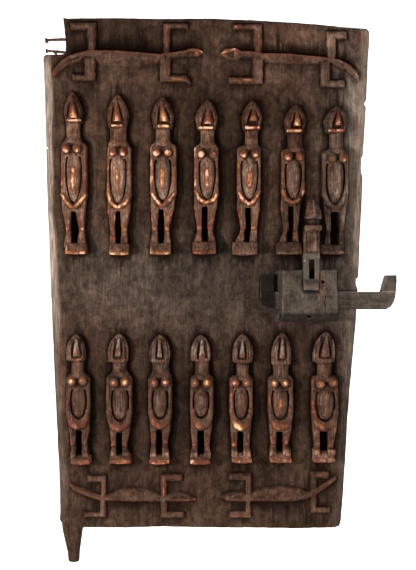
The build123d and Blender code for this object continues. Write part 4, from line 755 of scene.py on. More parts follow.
def paint_leaf(ob, fd):
    P = from_world(get_points(ob.data)).astype(np.float64)
    edge, full = shape_tones(fd, P)
    # Sharp edges are lightened, partly as edge wear and partly as a painted highlight; hollows get painted shade.
    rim = ramp(edge, 0.18, 0.85)
    shade_and_grime = ramp(full, 0.57, 0.84)
    h = P[:, 2]
    wear_and_highlight = np.zeros(len(P))
    fig = np.zeros(len(P))
    bare_and_highlight = np.zeros(len(P))
    hollow = np.zeros(len(P))
    for n, f in enumerate(UPPER_ROW + LOWER_ROW):
        k = 1.0 if n < 7 else 0.92
        w = RUB_AND_HIGHLIGHT[n]
        al, ar, zs = f["arms"]
        bl, br, bt, bb = f["belly"]
        hx, hz, zl, zr = f["hands"]
        pl, pr, pt, pb = f["plinth"]
        near = (P[:, 0] > min(al, pl) - 4) & (P[:, 0] < max(ar, pr) + 4) & (P[:, 1] > pb - 4) & (P[:, 1] < f["apex"][1] + 4)
        Q = P[near]
        hh = Q[:, 2] / k
        up = ramp(hh, 15, 20)
        nx, nt, n0, n1, nb = f["nose"]
        c0, c1, ct, cb = f["chin"]
        t = np.clip((Q[:, 1] - nb) / (nt - nb), 0, 1)
        on_nose = ramp(hh, 18.5 + 0 * t, 21.0) * (Q[:, 1] > nb - 1.0) * ramp(-np.abs(Q[:, 0] - (nx * t + (n0 + n1) / 2 * (1 - t))), -(n1 - n0) / 2 - 1.5, -1.0)
        a = w[0] * on_nose * (0.26 + 0.74 * ramp(-t, -0.62, -0.05)) * (1.0 if n < 7 else 0.85 * ramp(-t, -0.40, -0.05))
        a = np.maximum(a, w[1] * stroke(Q, c0 + 1, (ct + cb) / 2 - 0.3, c1 - 1, (ct + cb) / 2 - 0.3, 2.3) * ramp(hh, 19, 22))
        # Rubbed breasts; in the upper row the brightest spot is a painted highlight on their lower side, where the lamp
        # light falls.
        b0, z0, b1, z1, rb = f["breast"]
        dz = -5.0 if n < 7 else -0.4
        for s, bx, bz in ((w[2], b0, z0), (w[3], b1, z1)):
            a = np.maximum(a, (0.95 if n < 7 else 0.88) * s * blob(Q, bx - 0.6, bz + dz, 4.6 if n < 7 else 3.7, 3.6 if n < 7 else 4.1) * ramp(hh, 14, 19))
            a = np.maximum(a, 0.38 * s * blob(Q, bx, bz, 6.0, 6.5) * ramp(hh, 13, 18))
        # The belly: rubbed wood, with a painted sheen in long streaks down its middle.
        mx, mz = (bl + br) / 2, (bt + bb) / 2 - (0 if n < 7 else 2)
        hgt = (bt - bb) * (0.22 if n != 4 else 0.13)
        long = 0.5 + 0.5 * np.sin(Q[:, 0] * 2.2 + 0.25 * np.sin(Q[:, 1] * 0.11 + n))
        a = np.maximum(a, 1.12 * w[4] * stroke(Q, mx - 0.3, mz + hgt - 2, mx - 0.6, mz - hgt - 2, 3.5 if n != 4 else 4.6) * ramp(hh, 18, 21) * (0.66 + 0.34 * long))
        on_belly = ramp(hh, 15, 19) * (Q[:, 1] < bt) * (Q[:, 1] > bb) * ramp(-np.abs(Q[:, 0] - mx), -(br - bl) / 2 + 0.5, -(br - bl) / 2 + 3.5)
        a = np.maximum(a, 0.34 * on_belly * long ** 2 * (1.0 if n < 7 else 0.7))
        bend, drop = BEND[n]
        for x, zz, s, v in ((al + 3.0, zl, 1, w[5]), (ar - 3.0, zr, -1, w[6])):
            ex, ez = hx - s * 2.1, hz + 2.3
            jx, jz = x + (ex - x) * BOW[n][0] - s * bend, zz + (ez - zz) * BOW[n][1] - drop
            both = np.maximum(stroke(Q, x - s * 0.3, zz - 0.5, jx, jz - 0.4, 2.9), stroke(Q, jx, jz - 0.4, ex, ez, 3.2))
            if n >= 7:
                side = lap(Q[:, 0], Q[:, 1], f)
                both = ramp(side, -5.6, -3.0) * ramp(-side, -0.9, 0.3) * ramp(-Q[:, 1], -zz - 3, -zz + 6) * ramp(s * (mx - Q[:, 0]), -3, 3) \
                    * (0.42 + 0.50 * ramp(-Q[:, 1], -zz + 4, -hz - 3))
            a = np.maximum(a, 0.92 * v * both * ramp(hh, 14.5, 18.0))
        kn, th = f["knee"], f["thigh"]
        a = np.maximum(a, w[7] * blob(Q, (kn[0] + kn[1]) / 2 - 0.8, kn[4] + 0.5, 3.4, 3.4) * ramp(hh, 15.5, 18))
        a = np.maximum(a, w[8] * blob(Q, (kn[2] + kn[3]) / 2 + 0.4, kn[4] + 0.5, 3.4, 3.4) * ramp(hh, 15.5, 18))
        a = np.maximum(a, 0.7 * w[7] * stroke(Q, th[0] + 0.6, th[4] - 5, kn[0] + 0.6, kn[4], 1.6) * ramp(hh, 12, 15))
        a = np.maximum(a, 0.7 * w[8] * stroke(Q, th[3] - 0.6, th[4] - 5, kn[3] - 0.6, kn[4], 1.6) * ramp(hh, 12, 15))
        low = pb + 0.9 * 4 * ((Q[:, 0] - (pl + pr) / 2) / (pr - pl)) ** 2
        band = ramp(hh, 24.5, 27.5) * ramp(-(Q[:, 1] - low), -(5.2 if n < 7 else 7.5), -3.4 if n < 7 else -5.0)
        rim_q = rim[near]
        line = ramp(-np.abs(Q[:, 1] - low - 0.6), -2.4, -0.6)
        top = ramp(-np.abs(Q[:, 1] - low - (3.6 if n < 7 else 5.6)), -2.2, -0.4)
        a = np.maximum(a, (1.0 if n < 7 else 0.62) * w[9] * band * ((0.55 if n < 7 else 0.20) + (0.45 if n < 7 else 0.75) * np.maximum(line, 0.6 * top)))
        a = np.maximum(a, 0.75 * w[9] * rim_q * ramp(hh, 20, 24) * (Q[:, 1] < pt))
        # Edges of the arms: wear and a painted highlight, fainter on the right arm, away from the key lamp.
        arm = (Q[:, 1] < zs + 2) & (Q[:, 1] > min(zl, zr) - 4)
        a = np.maximum(a, min((1.10 if n < 4 else 0.80) * w[10], 0.85) * rim_q ** 1.6 * arm * ramp(hh, 11, 14) * (1 - 0.55 * ramp(Q[:, 0], (al + ar) / 2, ar)))
        leg = (Q[:, 1] < hz - 3) & (Q[:, 1] > pt + 2)
        broken = np.clip(0.62 + 0.75 * noise(Q, (8.0, 13.0, 9.0), 83), 0, 1.15)
        a = np.maximum(a, SHINS[n] * broken * rim_q * leg * ramp(hh, 12, 15))
        a = np.maximum(a, 0.16 * rim_q * up)
        # Lower row: the pale edges of the wedge nose are partly painted highlights; the hollows beside the nose get
        # painted shade.
        if n >= 7:      # pale edges of the wedge nose, dark hollows beside it
            b = np.maximum(stroke(Q, nx - 0.5, nt, n0 + 1.4, nb, 1.6), stroke(Q, nx + 0.5, nt, n1 - 1.4, nb, 1.6))
            bare_and_highlight[near] = np.maximum(bare_and_highlight[near], NOSES[n - 7] * b * ramp(hh, 16.8, 19.2))
            # A pale painted highlight on the breasts of the lower row.
            for s, bx, bz in ((w[2], b0, z0), (w[3], b1, z1)):
                bare_and_highlight[near] = np.maximum(bare_and_highlight[near], 0.85 * min(s, 1.0) * blob(Q, bx - 1.2, bz - 0.2, 3.6, 4.4) * ramp(hh, 14, 19))
            lean = np.abs(Q[:, 0] - (nx * t + (n0 + n1) / 2 * (1 - t)))
            deep = ramp(lean, (n1 - n0) / 2 * 0.86 * (1 - t) + 0.8, (n1 - n0) / 2 * 0.86 * (1 - t) + 1.8) * ramp(-hh, -21.5, -19.5)
            deep = deep * ramp(-lean, -(n1 - n0) / 2 - 3.4, -(n1 - n0) / 2 - 1.6) * (Q[:, 1] > nb - 1) * (Q[:, 1] < nt + 2)
            hollow[near] = np.maximum(hollow[near], 0.80 * deep)
        if n == 6:
            for x, zz, s in ((al + 3.0, zl, 1), (ar - 3.0, zr, -1)):
                fore = stroke(Q, x, zz, hx - s * 2.1, hz + 2.3, 3.6)
                bare_and_highlight[near] = np.maximum(bare_and_highlight[near], (0.26 if s > 0 else 0.40) * fore * ramp(hh, 14.5, 18.0))
        # Painted shade in the slot between the legs.
        gap = leg_gap(Q[:, 0], Q[:, 1], f)
        hollow[near] = np.maximum(hollow[near], ramp(-gap, -0.6, 1.4) * ramp(-Q[:, 2], -7, -3))
        wear_and_highlight[near] = np.maximum(wear_and_highlight[near], a)
        fig[near] = np.maximum(fig[near], ramp(hh, 3.0, 7.0))
    # the lizards: rubbed ridges, and bare wood at the upper ones' heads and fore legs
    liz = np.zeros(len(P))
    for n, body in enumerate(LIZARD_BODIES):
        d = -polygon(P[:, 0], P[:, 1], body)
        liz = np.maximum(liz, ramp(d, -1.5, 1.0))
    legs = np.zeros(len(P))
    for leg in LIZARD_LEGS:
        d = -polygon(P[:, 0], P[:, 1], leg)
        legs = np.maximum(legs, ramp(d, -1.0, 1.0))
    low_rim = ramp(edge, 0.08, 0.42) * (h < 14)
    for n, body in enumerate(LIZARD_BODIES[:2]):        # a dark red ridge along the upper ones
        top = np.array(sorted(body[:SPLIT[n] + 1]))
        away = np.interp(P[:, 0], top[:, 0], top[:, 1]) - P[:, 1]
        here = (P[:, 0] > top[0, 0]) * (P[:, 0] < top[-1, 0])
        wear_and_highlight = np.maximum(wear_and_highlight, here * 0.33 * ramp(away, -1.5, 0.5) * ramp(-away, -6.0, -3.0) * ramp(h, 3, 6))
    for path in TAILS:
        for a, b in zip(path, path[1:]):
            line = stroke(P, a[0], a[1], b[0], b[1], (a[2] + b[2]) / 2)
            wear_and_highlight = np.maximum(wear_and_highlight, 0.28 * low_rim * ramp(line, 0.15, 0.4))
    wear_and_highlight = np.maximum(wear_and_highlight, low_rim * np.maximum(np.where(P[:, 1] > 400, 0.06, 0.16) * liz, 0.12 * legs))
    for s, args in ((0.80, (133.4, 769, 133.2, 739, 1.7)), (0.60, (264.6, 757, 264.4, 737, 2.0)),
                    (0.80, (172, 734, 178, 724.5, 2.6)), (0.85, (180, 731, 187, 729, 2.4)),
                    (0.75, (210, 727.5, 231, 733.5, 1.9)), (0.70, (210, 726.0, 226, 718.5, 1.7)),
                    (0.60, (227, 692, 252, 689.5, 1.8)), (0.55, (139, 691, 160, 690, 1.8)),
                    (0.20, (40, 731.0, 118, 727, 2.4)), (0.40, (132, 691, 134, 716, 1.8)),
                    (0.65, (172, 91.5, 176, 92, 2.2)), (0.45, (140, 90.5, 172, 91, 1.5)),
                    (0.55, (128.5, 124, 128.5, 98, 1.8)), (0.50, (134, 123.5, 153, 123, 1.8)),
                    (0.40, (300, 94, 316, 96, 1.6)), (0.45, (250, 126, 250, 98, 1.4)),
                    (0.45, (226, 70, 250, 70, 1.6)), (0.35, (346, 126, 361, 128, 1.8)),
                    (0.35, (130, 90, 130, 70, 1.6)), (0.35, (42, 118, 42, 96, 1.4))):
        wear_and_highlight = np.maximum(wear_and_highlight, s * stroke(P, *args) * ramp(h, 0.5, 3.5))
    # single bare spots and chips
    for s, x, z, rx, rz in ((0.95, 232.4, 766.0, 2.6, 2.4), (0.55, 410, 750, 6, 9), (0.35, 59.0, 768, 3, 2),
                            (0.45, 104.5, 765.5, 4.0, 2.6), (1.15, 315.4, 464.2, 2.3, 2.3),
                            (0.55, 418.5, 657.5, 2, 2), (0.5, 321.0, 437.0, 1.3, 1.3)):
        wear_and_highlight = np.maximum(wear_and_highlight, s * blob(P, x, z, rx, rz))
    # Pale, worn wood along the slanting long edges, made lighter still as a painted highlight where they face the
    # lamps; it fades towards the bottom and stays off the back.
    xl = np.interp(P[:, 1], OUT_L[:, 0], OUT_L[:, 1])
    xr = np.interp(P[:, 1], OUT_R[:, 0], OUT_R[:, 1])
    wl = 9.0 + 1.8 * np.sin(P[:, 1] * 0.021) + 1.2 * np.sin(P[:, 1] * 0.057 + 1)
    pale = ramp(-(P[:, 0] - xl), -wl - 2.0, -wl + 2.5) * ramp(P[:, 1], 40, 120) * ramp(-P[:, 1], -735, -700)
    pale = np.maximum(pale, 0.60 * ramp(P[:, 0] - xr, -13, -5))
    pale = pale * (0.18 + 0.82 * ramp(P[:, 1], 290, 430))
    pale = np.maximum(pale, 0.34 * ramp(P[:, 0] - xr, -46, -24) * ramp(P[:, 1], 455, 520) * ramp(-P[:, 1], -690, -640) * ramp(-h, -5, -2))
    pale = pale * ramp(h, -16, -6)
    # Pale painted highlights, with spots of bare, chipped wood, on the sixth and seventh figures of the upper row and
    # along the lower edges of their plinths.
    bare_and_highlight = np.maximum(bare_and_highlight, 0.60 * blob(P, 317.5, 548.0, 1.8, 4.6) * ramp(h, 14, 18))
    bare_and_highlight = np.maximum(bare_and_highlight, 0.36 * stroke(P, 376.4, 565.0, 376.4, 541.0, 1.7) * ramp(h, 14, 18))
    for s, args in ((0.90, (384.4, 503, 383.6, 480, 2.4)), (0.80, (382.0, 479.5, 382.0, 477.5, 2.0)), (1.0, (315.6, 464.6, 315.6, 463.6, 1.9)),
                    (0.55, (356.7, 442.6, 381.5, 442.6, 1.3)), (0.75, (378.0, 442.8, 382.0, 442.8, 1.5)), (0.30, (288.0, 442.0, 317.0, 442.0, 1.4))):
        bare_and_highlight = np.maximum(bare_and_highlight, s * stroke(P, *args) * ramp(h, 8, 12))
    pale = np.maximum(pale, bare_and_highlight)
    # painted shadow with some dirt, in dark bands: above the upper lizards, below the lower ones, between figures
    dark = np.zeros(len(P))
    for n, body in enumerate(LIZARD_BODIES):
        turn = SPLIT[n]
        top, low = np.array(sorted(body[:turn + 1])), np.array(sorted(body[turn:]))
        inside_x = ramp(P[:, 0], top[0, 0] + 12, top[0, 0] + 40) * ramp(-P[:, 0], -top[-1, 0] + 2, -top[-1, 0] + 30)
        if n < 2:
            away = P[:, 1] - np.interp(P[:, 0], top[:, 0], top[:, 1])
        else:
            away = np.interp(P[:, 0], low[:, 0], low[:, 1]) - P[:, 1]
        size = (18.0, 8.0, 6.0, 6.0)[n]
        band = ramp(away, -1.5, 0.3) * ramp(-away, -size - 1.5, -size * 0.55) * inside_x * (0.97 if n < 2 else 0.45)
        dark = np.maximum(dark, band * ramp(-h, -7.0, -3.0))
    # painted shade, with some grime, on the ground around the figures, set a little to their right; the ground is also
    # made lighter and darker in broad patches
    tall = (fd.v[:, :, fd.ax[2] > 7.0] < 0).any(axis=2).astype(np.float32)[:, :, None]
    halo = tall
    for r in (round(7 / fd.step), round(5 / fd.step)):
        for axis in (0, 1):
            w = [(0, 0)] * 3
            w[axis] = (r + 1, r)
            c = np.cumsum(np.pad(halo, w, mode="edge"), axis=axis, dtype=np.float64)
            m = halo.shape[axis]
            i, j = [slice(None)] * 3, [slice(None)] * 3
            i[axis], j[axis] = slice(2 * r + 1, 2 * r + 1 + m), slice(0, m)
            halo = ((c[tuple(i)] - c[tuple(j)]) / (2 * r + 1)).astype(np.float32)
    halo = np.repeat(halo, 2, axis=2)
    flat = P.copy()
    flat[:, 0] -= 1.5
    flat[:, 2] = fd.ax[2][0]
    near_fig = ramp(sample(fd, halo, flat), 0.02, 0.42) * ramp(-h, -7, -3)
    tone = np.ones(len(P))
    for gain, x, z, rx, rz in ((-0.55, 212, 550, 70, 95), (-0.70, 205, 230, 140, 62), (0.50, 285, 560, 22, 80),
                               (0.65, 345, 590, 15, 55), (-0.30, 50, 240, 60, 80),
                               (0.25, 60, 395, 70, 45), (1.9, 404, 600, 22, 130), (0.75, -15, 245, 9, 85), (-0.22, 205, 412, 75, 36),
                               (1.45, 330, 752, 90, 24), (0.5, 300, 690, 110, 20), (-0.30, 75, 750, 60, 20), (0.40, 380, 450, 40, 60),
                               (0.30, 20, 580, 60, 80), (0.55, 396, 330, 26, 120), (-0.3, 330, 330, 60, 40),
                               (0.25, 190, 60, 170, 16), (0.35, 330, 700, 60, 14), (0.25, 80, 690, 60, 14)):
        tone = tone + gain * blob(P, x, z, rx, rz)
    between = np.maximum(0.34 * blob(P, 225, 540, 60, 95), 0.54 * blob(P, 190, 235, 175, 70))
    tone = np.clip(tone * (1.0 - (0.58 + between - 0.34 * blob(P, 345, 560, 62, 90)) * near_fig), 0.08, 4.0)
    t7 = (P[:, 0] > 346) & (P[:, 0] < 396) & (P[:, 1] > 434) & (P[:, 1] < 655)
    grey = 0.85 * blob(P, 170, 410, 200, 70) + blob(P, 400, 600, 45, 170) + 0.7 * blob(P, 400, 330, 40, 150)
    row = np.ones(len(P))
    for n, f in enumerate(UPPER_ROW + LOWER_ROW):
        pl, pr, pt, pb = f["plinth"]
        here = (np.abs(P[:, 0] - (pl + pr) / 2) < 24) & (P[:, 1] > pb - 4) & (P[:, 1] < f["apex"][1] + 4)
        row[here] = FILM[n]
        # Each belly is paler towards its middle, a painted sheen.
        bl, br, bt, bb = f["belly"]
        mid = (((P[:, 0] - (bl + br) / 2) / ((br - bl) / 2)) ** 2 + ((P[:, 1] - (bt + bb) / 2) / ((bt - bb) / 2)) ** 2)
        row = row * (1.0 + (0.50 if n < 7 else 0.15) * np.exp(-1.6 * mid ** 1.5))
        if n < 7:           # heads darker, necks paler
            row[here & (P[:, 1] > f["head_base"] - 1)] *= (0.56, 0.72, 0.56, 0.60, 0.56, 0.62, 0.70)[n]
            row[here & (P[:, 1] < f["head_base"] - 1) & (P[:, 1] > f["neck"][2])] *= 1.04
            row[here & (P[:, 1] < pt + 1)] *= 0.70
        if n >= 7:          # helmets and plinths of the lower row are greyer and paler
            row[here & (P[:, 1] > f["head_base"])] *= 1.35
            row[here & (P[:, 1] < pt + 2)] *= 3.0
    front = ramp(h, -15, -8)            # the back and the edges stay plain
    tone = 1.0 + (tone - 1.0) * front
    grey = grey * (0.2 + 0.8 * front)
    paint(ob, "tone", np.where(fig > 0.5, row, tone))
    # Greyer wood on the seventh upper figure, on the bellies and on the helmets of the lower row; on the bellies and
    # helmets this grey stands partly for a painted sheen.
    ashen = np.where(t7, 0.62, 0.0)
    for n, f in enumerate(UPPER_ROW + LOWER_ROW):
        bl, br, bt, bb = f["belly"]
        inside = ((P[:, 0] - (bl + br) / 2) / ((br - bl) / 2 + 2)) ** 2 + ((P[:, 1] - (bt + bb) / 2) / ((bt - bb) / 2 + 2)) ** 2
        ashen = np.maximum(ashen, (0.38 if n < 7 else 0.12) * (inside < 1))
        if n >= 7:
            on_head = (np.abs(P[:, 0] - f["apex"][0]) < 20) & (P[:, 1] > f["head_base"]) & (P[:, 1] < f["apex"][1] + 3)
            ashen = np.maximum(ashen, 0.45 * on_head)
    paint(ob, "grey", np.where(fig > 0.5, ashen, np.clip(grey, 0, 1) * (1 - fig)))
    paint(ob, "wear_and_highlight", wear_and_highlight * ramp(h, -15, -8))
    paint(ob, "rim", rim)
    # painted shadow around the lizards' legs, most of it on their right and upper sides
    out = np.full(len(P), 99.0)
    for leg in LIZARD_LEGS:
        out = np.minimum(out, polygon(P[:, 0] - 1.2, P[:, 1] - (1.2 if leg[0][1] > 400 else 0.2), leg))
    dark = np.maximum(dark, 0.72 * ramp(-out, -4.2, -0.6) * ramp(-h, -4.0, -1.2) * np.where(P[:, 1] > 400, 1.0, 0.72))
    # black shade behind the figure on the lock
    dark = np.maximum(dark, 0.9 * (np.abs(P[:, 0] - 341) < 8) * ramp(P[:, 1], 408, 414) * ramp(-P[:, 1], -444, -436) * (h < 8))
    for x, w, z, top, s in ((326.6, 5.6, 404, 24, 1.0), (355.8, 5.8, 426, 15, 1.0), (321.5, 7.0, 402, 10, 0.0)):
        dark = np.maximum(dark, (1.0 if s else 0.75 * (P[:, 1] < 442)) * ramp(-np.abs(P[:, 0] - x), -w - 1.5, -w + 1.5) * ramp(P[:, 1], z, z + 10)
                          * ramp(-P[:, 1], -532, -520) * ramp(-h, -top - 4, -top + 3))
    paint(ob, "shade_and_grime", np.maximum(shade_and_grime, np.maximum(dark, hollow) * front))
    paint(ob, "pale", pale)
    # Painted shade along the creases.
    crease_shade = ramp(-edge, 0.10, 0.62)
    carved = np.maximum(fig, np.maximum(0.32 * liz, 0.48 * legs) * ramp(h, 0.8, 3.5))
    paint(ob, "fig", carved)
    paint(ob, "crease_shade", crease_shade)


def sculpt_leaf():
    fd = leaf_field()
    points, quads = skin(fd)
    ob = build_mesh("leaf_carving", points, quads)
    P = points.astype(np.float64)
    on = ramp(P[:, 2], 2.0, 6.0)
    cuts = 0.20 * noise(P, (5.0, 9.0, 6.0), 31) + 0.15 * noise(P, (2.4, 7.0, 3.0), 33)
    wood = 0.10 * noise(P, (2.4, 22, 8), 35)
    push(ob, cuts * on + wood * (1 - on) + 0.35 * noise(P, (16, 22, 16), 37) * on * 0.5)
    thin_out(ob, 194000)
    paint_leaf(ob, fd)
    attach(ob, "leaf")
    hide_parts("door_leaf")
    return ob


# ------------------------------------------------------------------ the lock
def box_sd(X, Z, H, lo, hi, r):
    q = [np.abs(v - (a + b) / 2) - (b - a) / 2 + r for v, a, b in zip((X, Z, H), lo, hi)]
    out = np.sqrt(sum(np.maximum(v, 0) ** 2 for v in q))
    return out + np.minimum(np.maximum(np.maximum(q[0], q[1]), q[2]), 0) - r


def sculpt(name, fd, body, node, triangles, cuts, seed, grain):
    points, quads = skin(fd)
    ob = build_mesh(name, points, quads)
    P = points.astype(np.float64)
    keep = cuts(P)
    push(ob, keep * (0.16 * noise(P, (6.0, 6.5, 6.0), seed) + 0.10 * noise(P, (2.4, 3.0, 2.6), seed + 1)
                     + 0.14 * noise(P, grain, seed + 2)))
    thin_out(ob, triangles)
    P = from_world(get_points(ob.data)).astype(np.float64)
    edge, full = shape_tones(fd, P)
    # Edges lightened as wear and as a painted highlight; painted shade in creases and hollows.
    paint(ob, "rim", ramp(edge, 0.18, 0.85))
    paint(ob, "crease_shade", ramp(-edge, 0.10, 0.60))
    paint(ob, "shade_and_grime", ramp(full, 0.52, 0.80))
    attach(ob, body)
    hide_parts(node)
    return ob, P


def sculpt_case():
    fd = Field((281, 340, -1.6), (379, 523, 70), 0.8)
    X, Z, H = (a for a in fd.ax)
    X, Z, H = X[:, None, None], Z[None, :, None], H[None, None, :]
    flare = 3.2 * ramp(-Z, -364, -347) * ramp(-H, -50, -20)
    left = np.interp(H, [0, 41, 55], [287.9, 292.4, 294.2]) - flare
    right = np.interp(H, [0, 41, 55], [373.2, 371.8, 370.6]) - 1.4 * ramp(Z, 385, 400)
    low = np.interp(H, [0, 41, 48, 55], [344.7, 347.2, 351.6, 359.4])
    wavy = 0.5 * np.sin(Z * 0.13) * ramp(H, 20, 50)
    case = smax(left + wavy - X, X - right, 2.0)
    case = smax(case, low - Z + 0.4 * np.sin(X * 0.16), 2.0)
    case = smax(case, Z - 418.4 - 0.012 * (X - 330) + 0.3 * np.sin(X * 0.11), 1.6)
    face = 55.0 - 0.35 * ((X - 332) / 38) ** 2 - 2.6 * ramp(X, 352.2, 353.6) * ramp(-Z, -386, -381) \
        - 2.2 * ramp(-Z, -366, -352) * ramp(X, 352, 366) - 1.0 * ramp(-Z, -372, -358)
    case = smax(case, H - face, 1.7)
    case = np.maximum(case, -H)
    # a split runs down the front at the step
    split = np.maximum(np.abs(X - 352.6 - 0.5 * np.sin(Z * 0.4)) - 0.35, np.maximum(Z - 384, 51.4 - H))
    case = smax(case, -split, 0.4)
    # broken lower right corner
    bite = (np.sqrt(((X - 364) / 9.0) ** 2 + ((Z - 352) / 5.0) ** 2 + ((H - 55) / 8.0) ** 2) - 1) * 5
    case = smax(case, -bite, 1.2)
    # the front is sunk between the legs of the figure that stands on it
    sunk = np.maximum(np.maximum(np.abs(X - 334.8) - 3.6, 404.0 - Z), 40.0 - H)
    case = smax(case, -sunk, 0.5)
    # standing figure
    fx = 336.8
    head_z = [488.3, 489.4, 491.3, 497.5, 504.2, 510.2, 515.2, 518.8, 520.6]
    head_r = [10.2, 11.4, 11.6, 10.8, 9.2, 7.3, 5.0, 2.6, 0.3]
    w = np.interp(Z, head_z, head_r)
    head = (np.sqrt((X - fx) ** 2 + ((H - 51.5) * 1.04) ** 2 + 0.01) - w) * 0.88
    head = smax(head, 488.2 - Z, 1.0)
    turn = (X - fx) / np.maximum(w, 1.5)
    head = head + (0.35 * np.cos(turn * 9) + 0.55 * np.cos(Z * 1.9 + np.abs(turn) * 5.0)) * ramp(H, 52, 58) * ramp(w, 2, 5)
    # ridge with a chipped edge down the front of the head
    t = np.clip((Z - 490.0) / 27.0, 0, 1)
    jag = 1.0 + 0.50 * np.sin(Z * 1.15) + 0.3 * np.sin(Z * 2.3 + 1)
    ridge = (np.abs(X - fx + 0.2 - 0.8 * t) - 2.6 * (1 - t) ** 0.8 * jag - 0.4) * 0.8
    ridge = smax(ridge, H - (51.5 + w / 1.04 + 1.7 * (1 - t)), 0.8)
    ridge = np.maximum(np.maximum(ridge, 490.5 - Z), Z - 515.5)
    ridge = np.maximum(ridge, 52 - H)
    head = smin(head, ridge, 0.5)
    nr = np.interp(Z, [470, 479.5, 480.6, 482.6, 484.4, 486.0, 487.6, 490], [8.2, 7.6, 5.7, 5.3, 6.9, 6.9, 5.6, 6.0])
    neck = np.sqrt((X - fx + 0.2) ** 2 + (H - 51.5) ** 2) - nr
    neck = np.maximum(neck, np.maximum(470 - Z, Z - 491))
    fig = smin(head, neck, 0.5)
    cap = box_sd(X, Z, H, (324.2, 471.4, 42.5), (348.6, 480.2, 61.2), 3.7)
    fig = smin(fig, cap, 0.8)
    trunk = box_sd(X, Z, H, (323.5, 439.5, 43.2), (346.0, 473.5, 57.0), 2.6)
    barrel = (np.sqrt(((X - 337.3) / 6.9) ** 2 + (np.maximum(H - 51.0, 0) / 10.8) ** 2
                      + np.abs((Z - 456.3) / 17.5) ** 3.2) - 1) * 6.2
    barrel = np.maximum(barrel, 50 - H)
    fig = smin(fig, smin(trunk, barrel, 0.7), 0.6)
    hips = box_sd(X, Z, H, (322.6, 432.6, 42.2), (345.4, 441.6, 61.0), 2.3)
    fig = smin(fig, hips, 0.7)
    for a0, a1, b0, b1 in ((322.9, 331.0, 322.7, 330.6), (338.4, 344.9, 338.3, 345.1)):
        x0 = np.interp(Z, [402, 436], [a0, b0])
        x1 = np.interp(Z, [402, 436], [a1, b1])
        leg = slab(np.abs(X - (x0 + x1) / 2) - (x1 - x0) / 2, H, 57.9 + 0.9 * np.sin((Z - 402) / 34 * math.pi), 1.5)
        leg = np.maximum(leg, np.maximum(np.maximum(400 - Z, Z - 436), 43 - H))
        fig = smin(fig, leg, 0.7)
    foot = box_sd(X, Z, H, (323.0, 390.3, 41.0), (343.6, 406.2, 64.0), 2.0)
    foot = smax(foot, (H - 60.5) * 0.72 + (Z - 402.5) * 0.69, 1.0)
    fig = smin(fig, foot, 0.7)
    # the case is cut back a little around the foot block
    moat = np.maximum(np.maximum(np.abs(X - 333.3) - 12.2, np.abs(Z - 397.5) - 9.4), 54.0 - H)
    case = smax(case, -np.maximum(moat, -(np.maximum(np.abs(X - 333.3) - 10.0, np.abs(Z - 398.3) - 7.6))), 0.6)
    case = smin(case, fig, 0.9)
    # channel of the bolt, tumbler slots and nail holes
    z0, z1 = 362.1, 389.3
    hole = np.maximum(np.maximum(z0 - Z, Z - z1), H - 30.0) + 0 * X
    for x in (308.0, 332.0):
        slot = np.maximum(np.maximum(np.abs(X - x) - 5.0, np.maximum(380 - Z, Z - 413.6)), H - 21.8)
        hole = np.minimum(hole, slot)
    case = smax(case, -hole, 0.4)
    for x, z, h, mouth in ((349.8, 401.8, 49.0, 52.6), (331.5, 353.9, 40.0, 43.0)):
        r = np.sqrt((X - x) ** 2 + (Z - z) ** 2)
        turn = np.arctan2(Z - z, X - x)
        lip = np.where(H > mouth, 2.3 + 0.5 * np.cos(turn * 2 + 0.6) + 0.3 * np.cos(turn * 3), 3.5)
        case = np.maximum(case, -np.maximum(r - lip, h - 0.2 - H))
        case = np.maximum(case, 1.75 - r)
    fd.v = case.astype(np.float32)

    def cuts(P):
        inner = (P[:, 1] > 360.5) & (P[:, 1] < 391) & (P[:, 2] < 31.5) & (P[:, 0] > 290) & (P[:, 0] < 370)
        slots = (P[:, 1] > 385) & (P[:, 1] < 415.5) & (P[:, 2] < 23.5) & (np.abs(P[:, 0] - 320) < 19)
        return np.where(inner | slots | (P[:, 2] < 1.0), 0.0, 1.0)

    ob, P = sculpt("lock_block", fd, "leaf", "lock_case", 90000, cuts, 51, (2.2, 18, 5))
    figure = ramp(P[:, 2], 55.6, 57.5) * (P[:, 1] > 388)
    figure = np.maximum(figure, ramp(P[:, 1], 418.5, 420.0))
    ash = figure * ramp(-P[:, 1], -446, -438) * (0.55 + 0.45 * ramp(P[:, 1], 404, 410))
    # Paler grey lines along the figure's edges, its head ridge and the rim of its head, partly painted highlights.
    for s, args in ((0.8, (345.5, 470, 345.8, 442, 1.2)), (0.45, (326.5, 517, 326.5, 517, 1)), (0.8, (336.2, 513, 338.0, 493, 1.5)),
                    (0.7, (326.5, 489.3, 347.5, 489.3, 1.1)), (0.5, (325.5, 478, 347, 478, 1.6))):
        ash = np.maximum(ash, s * stroke(P, *args) * ramp(P[:, 2], 53, 56))
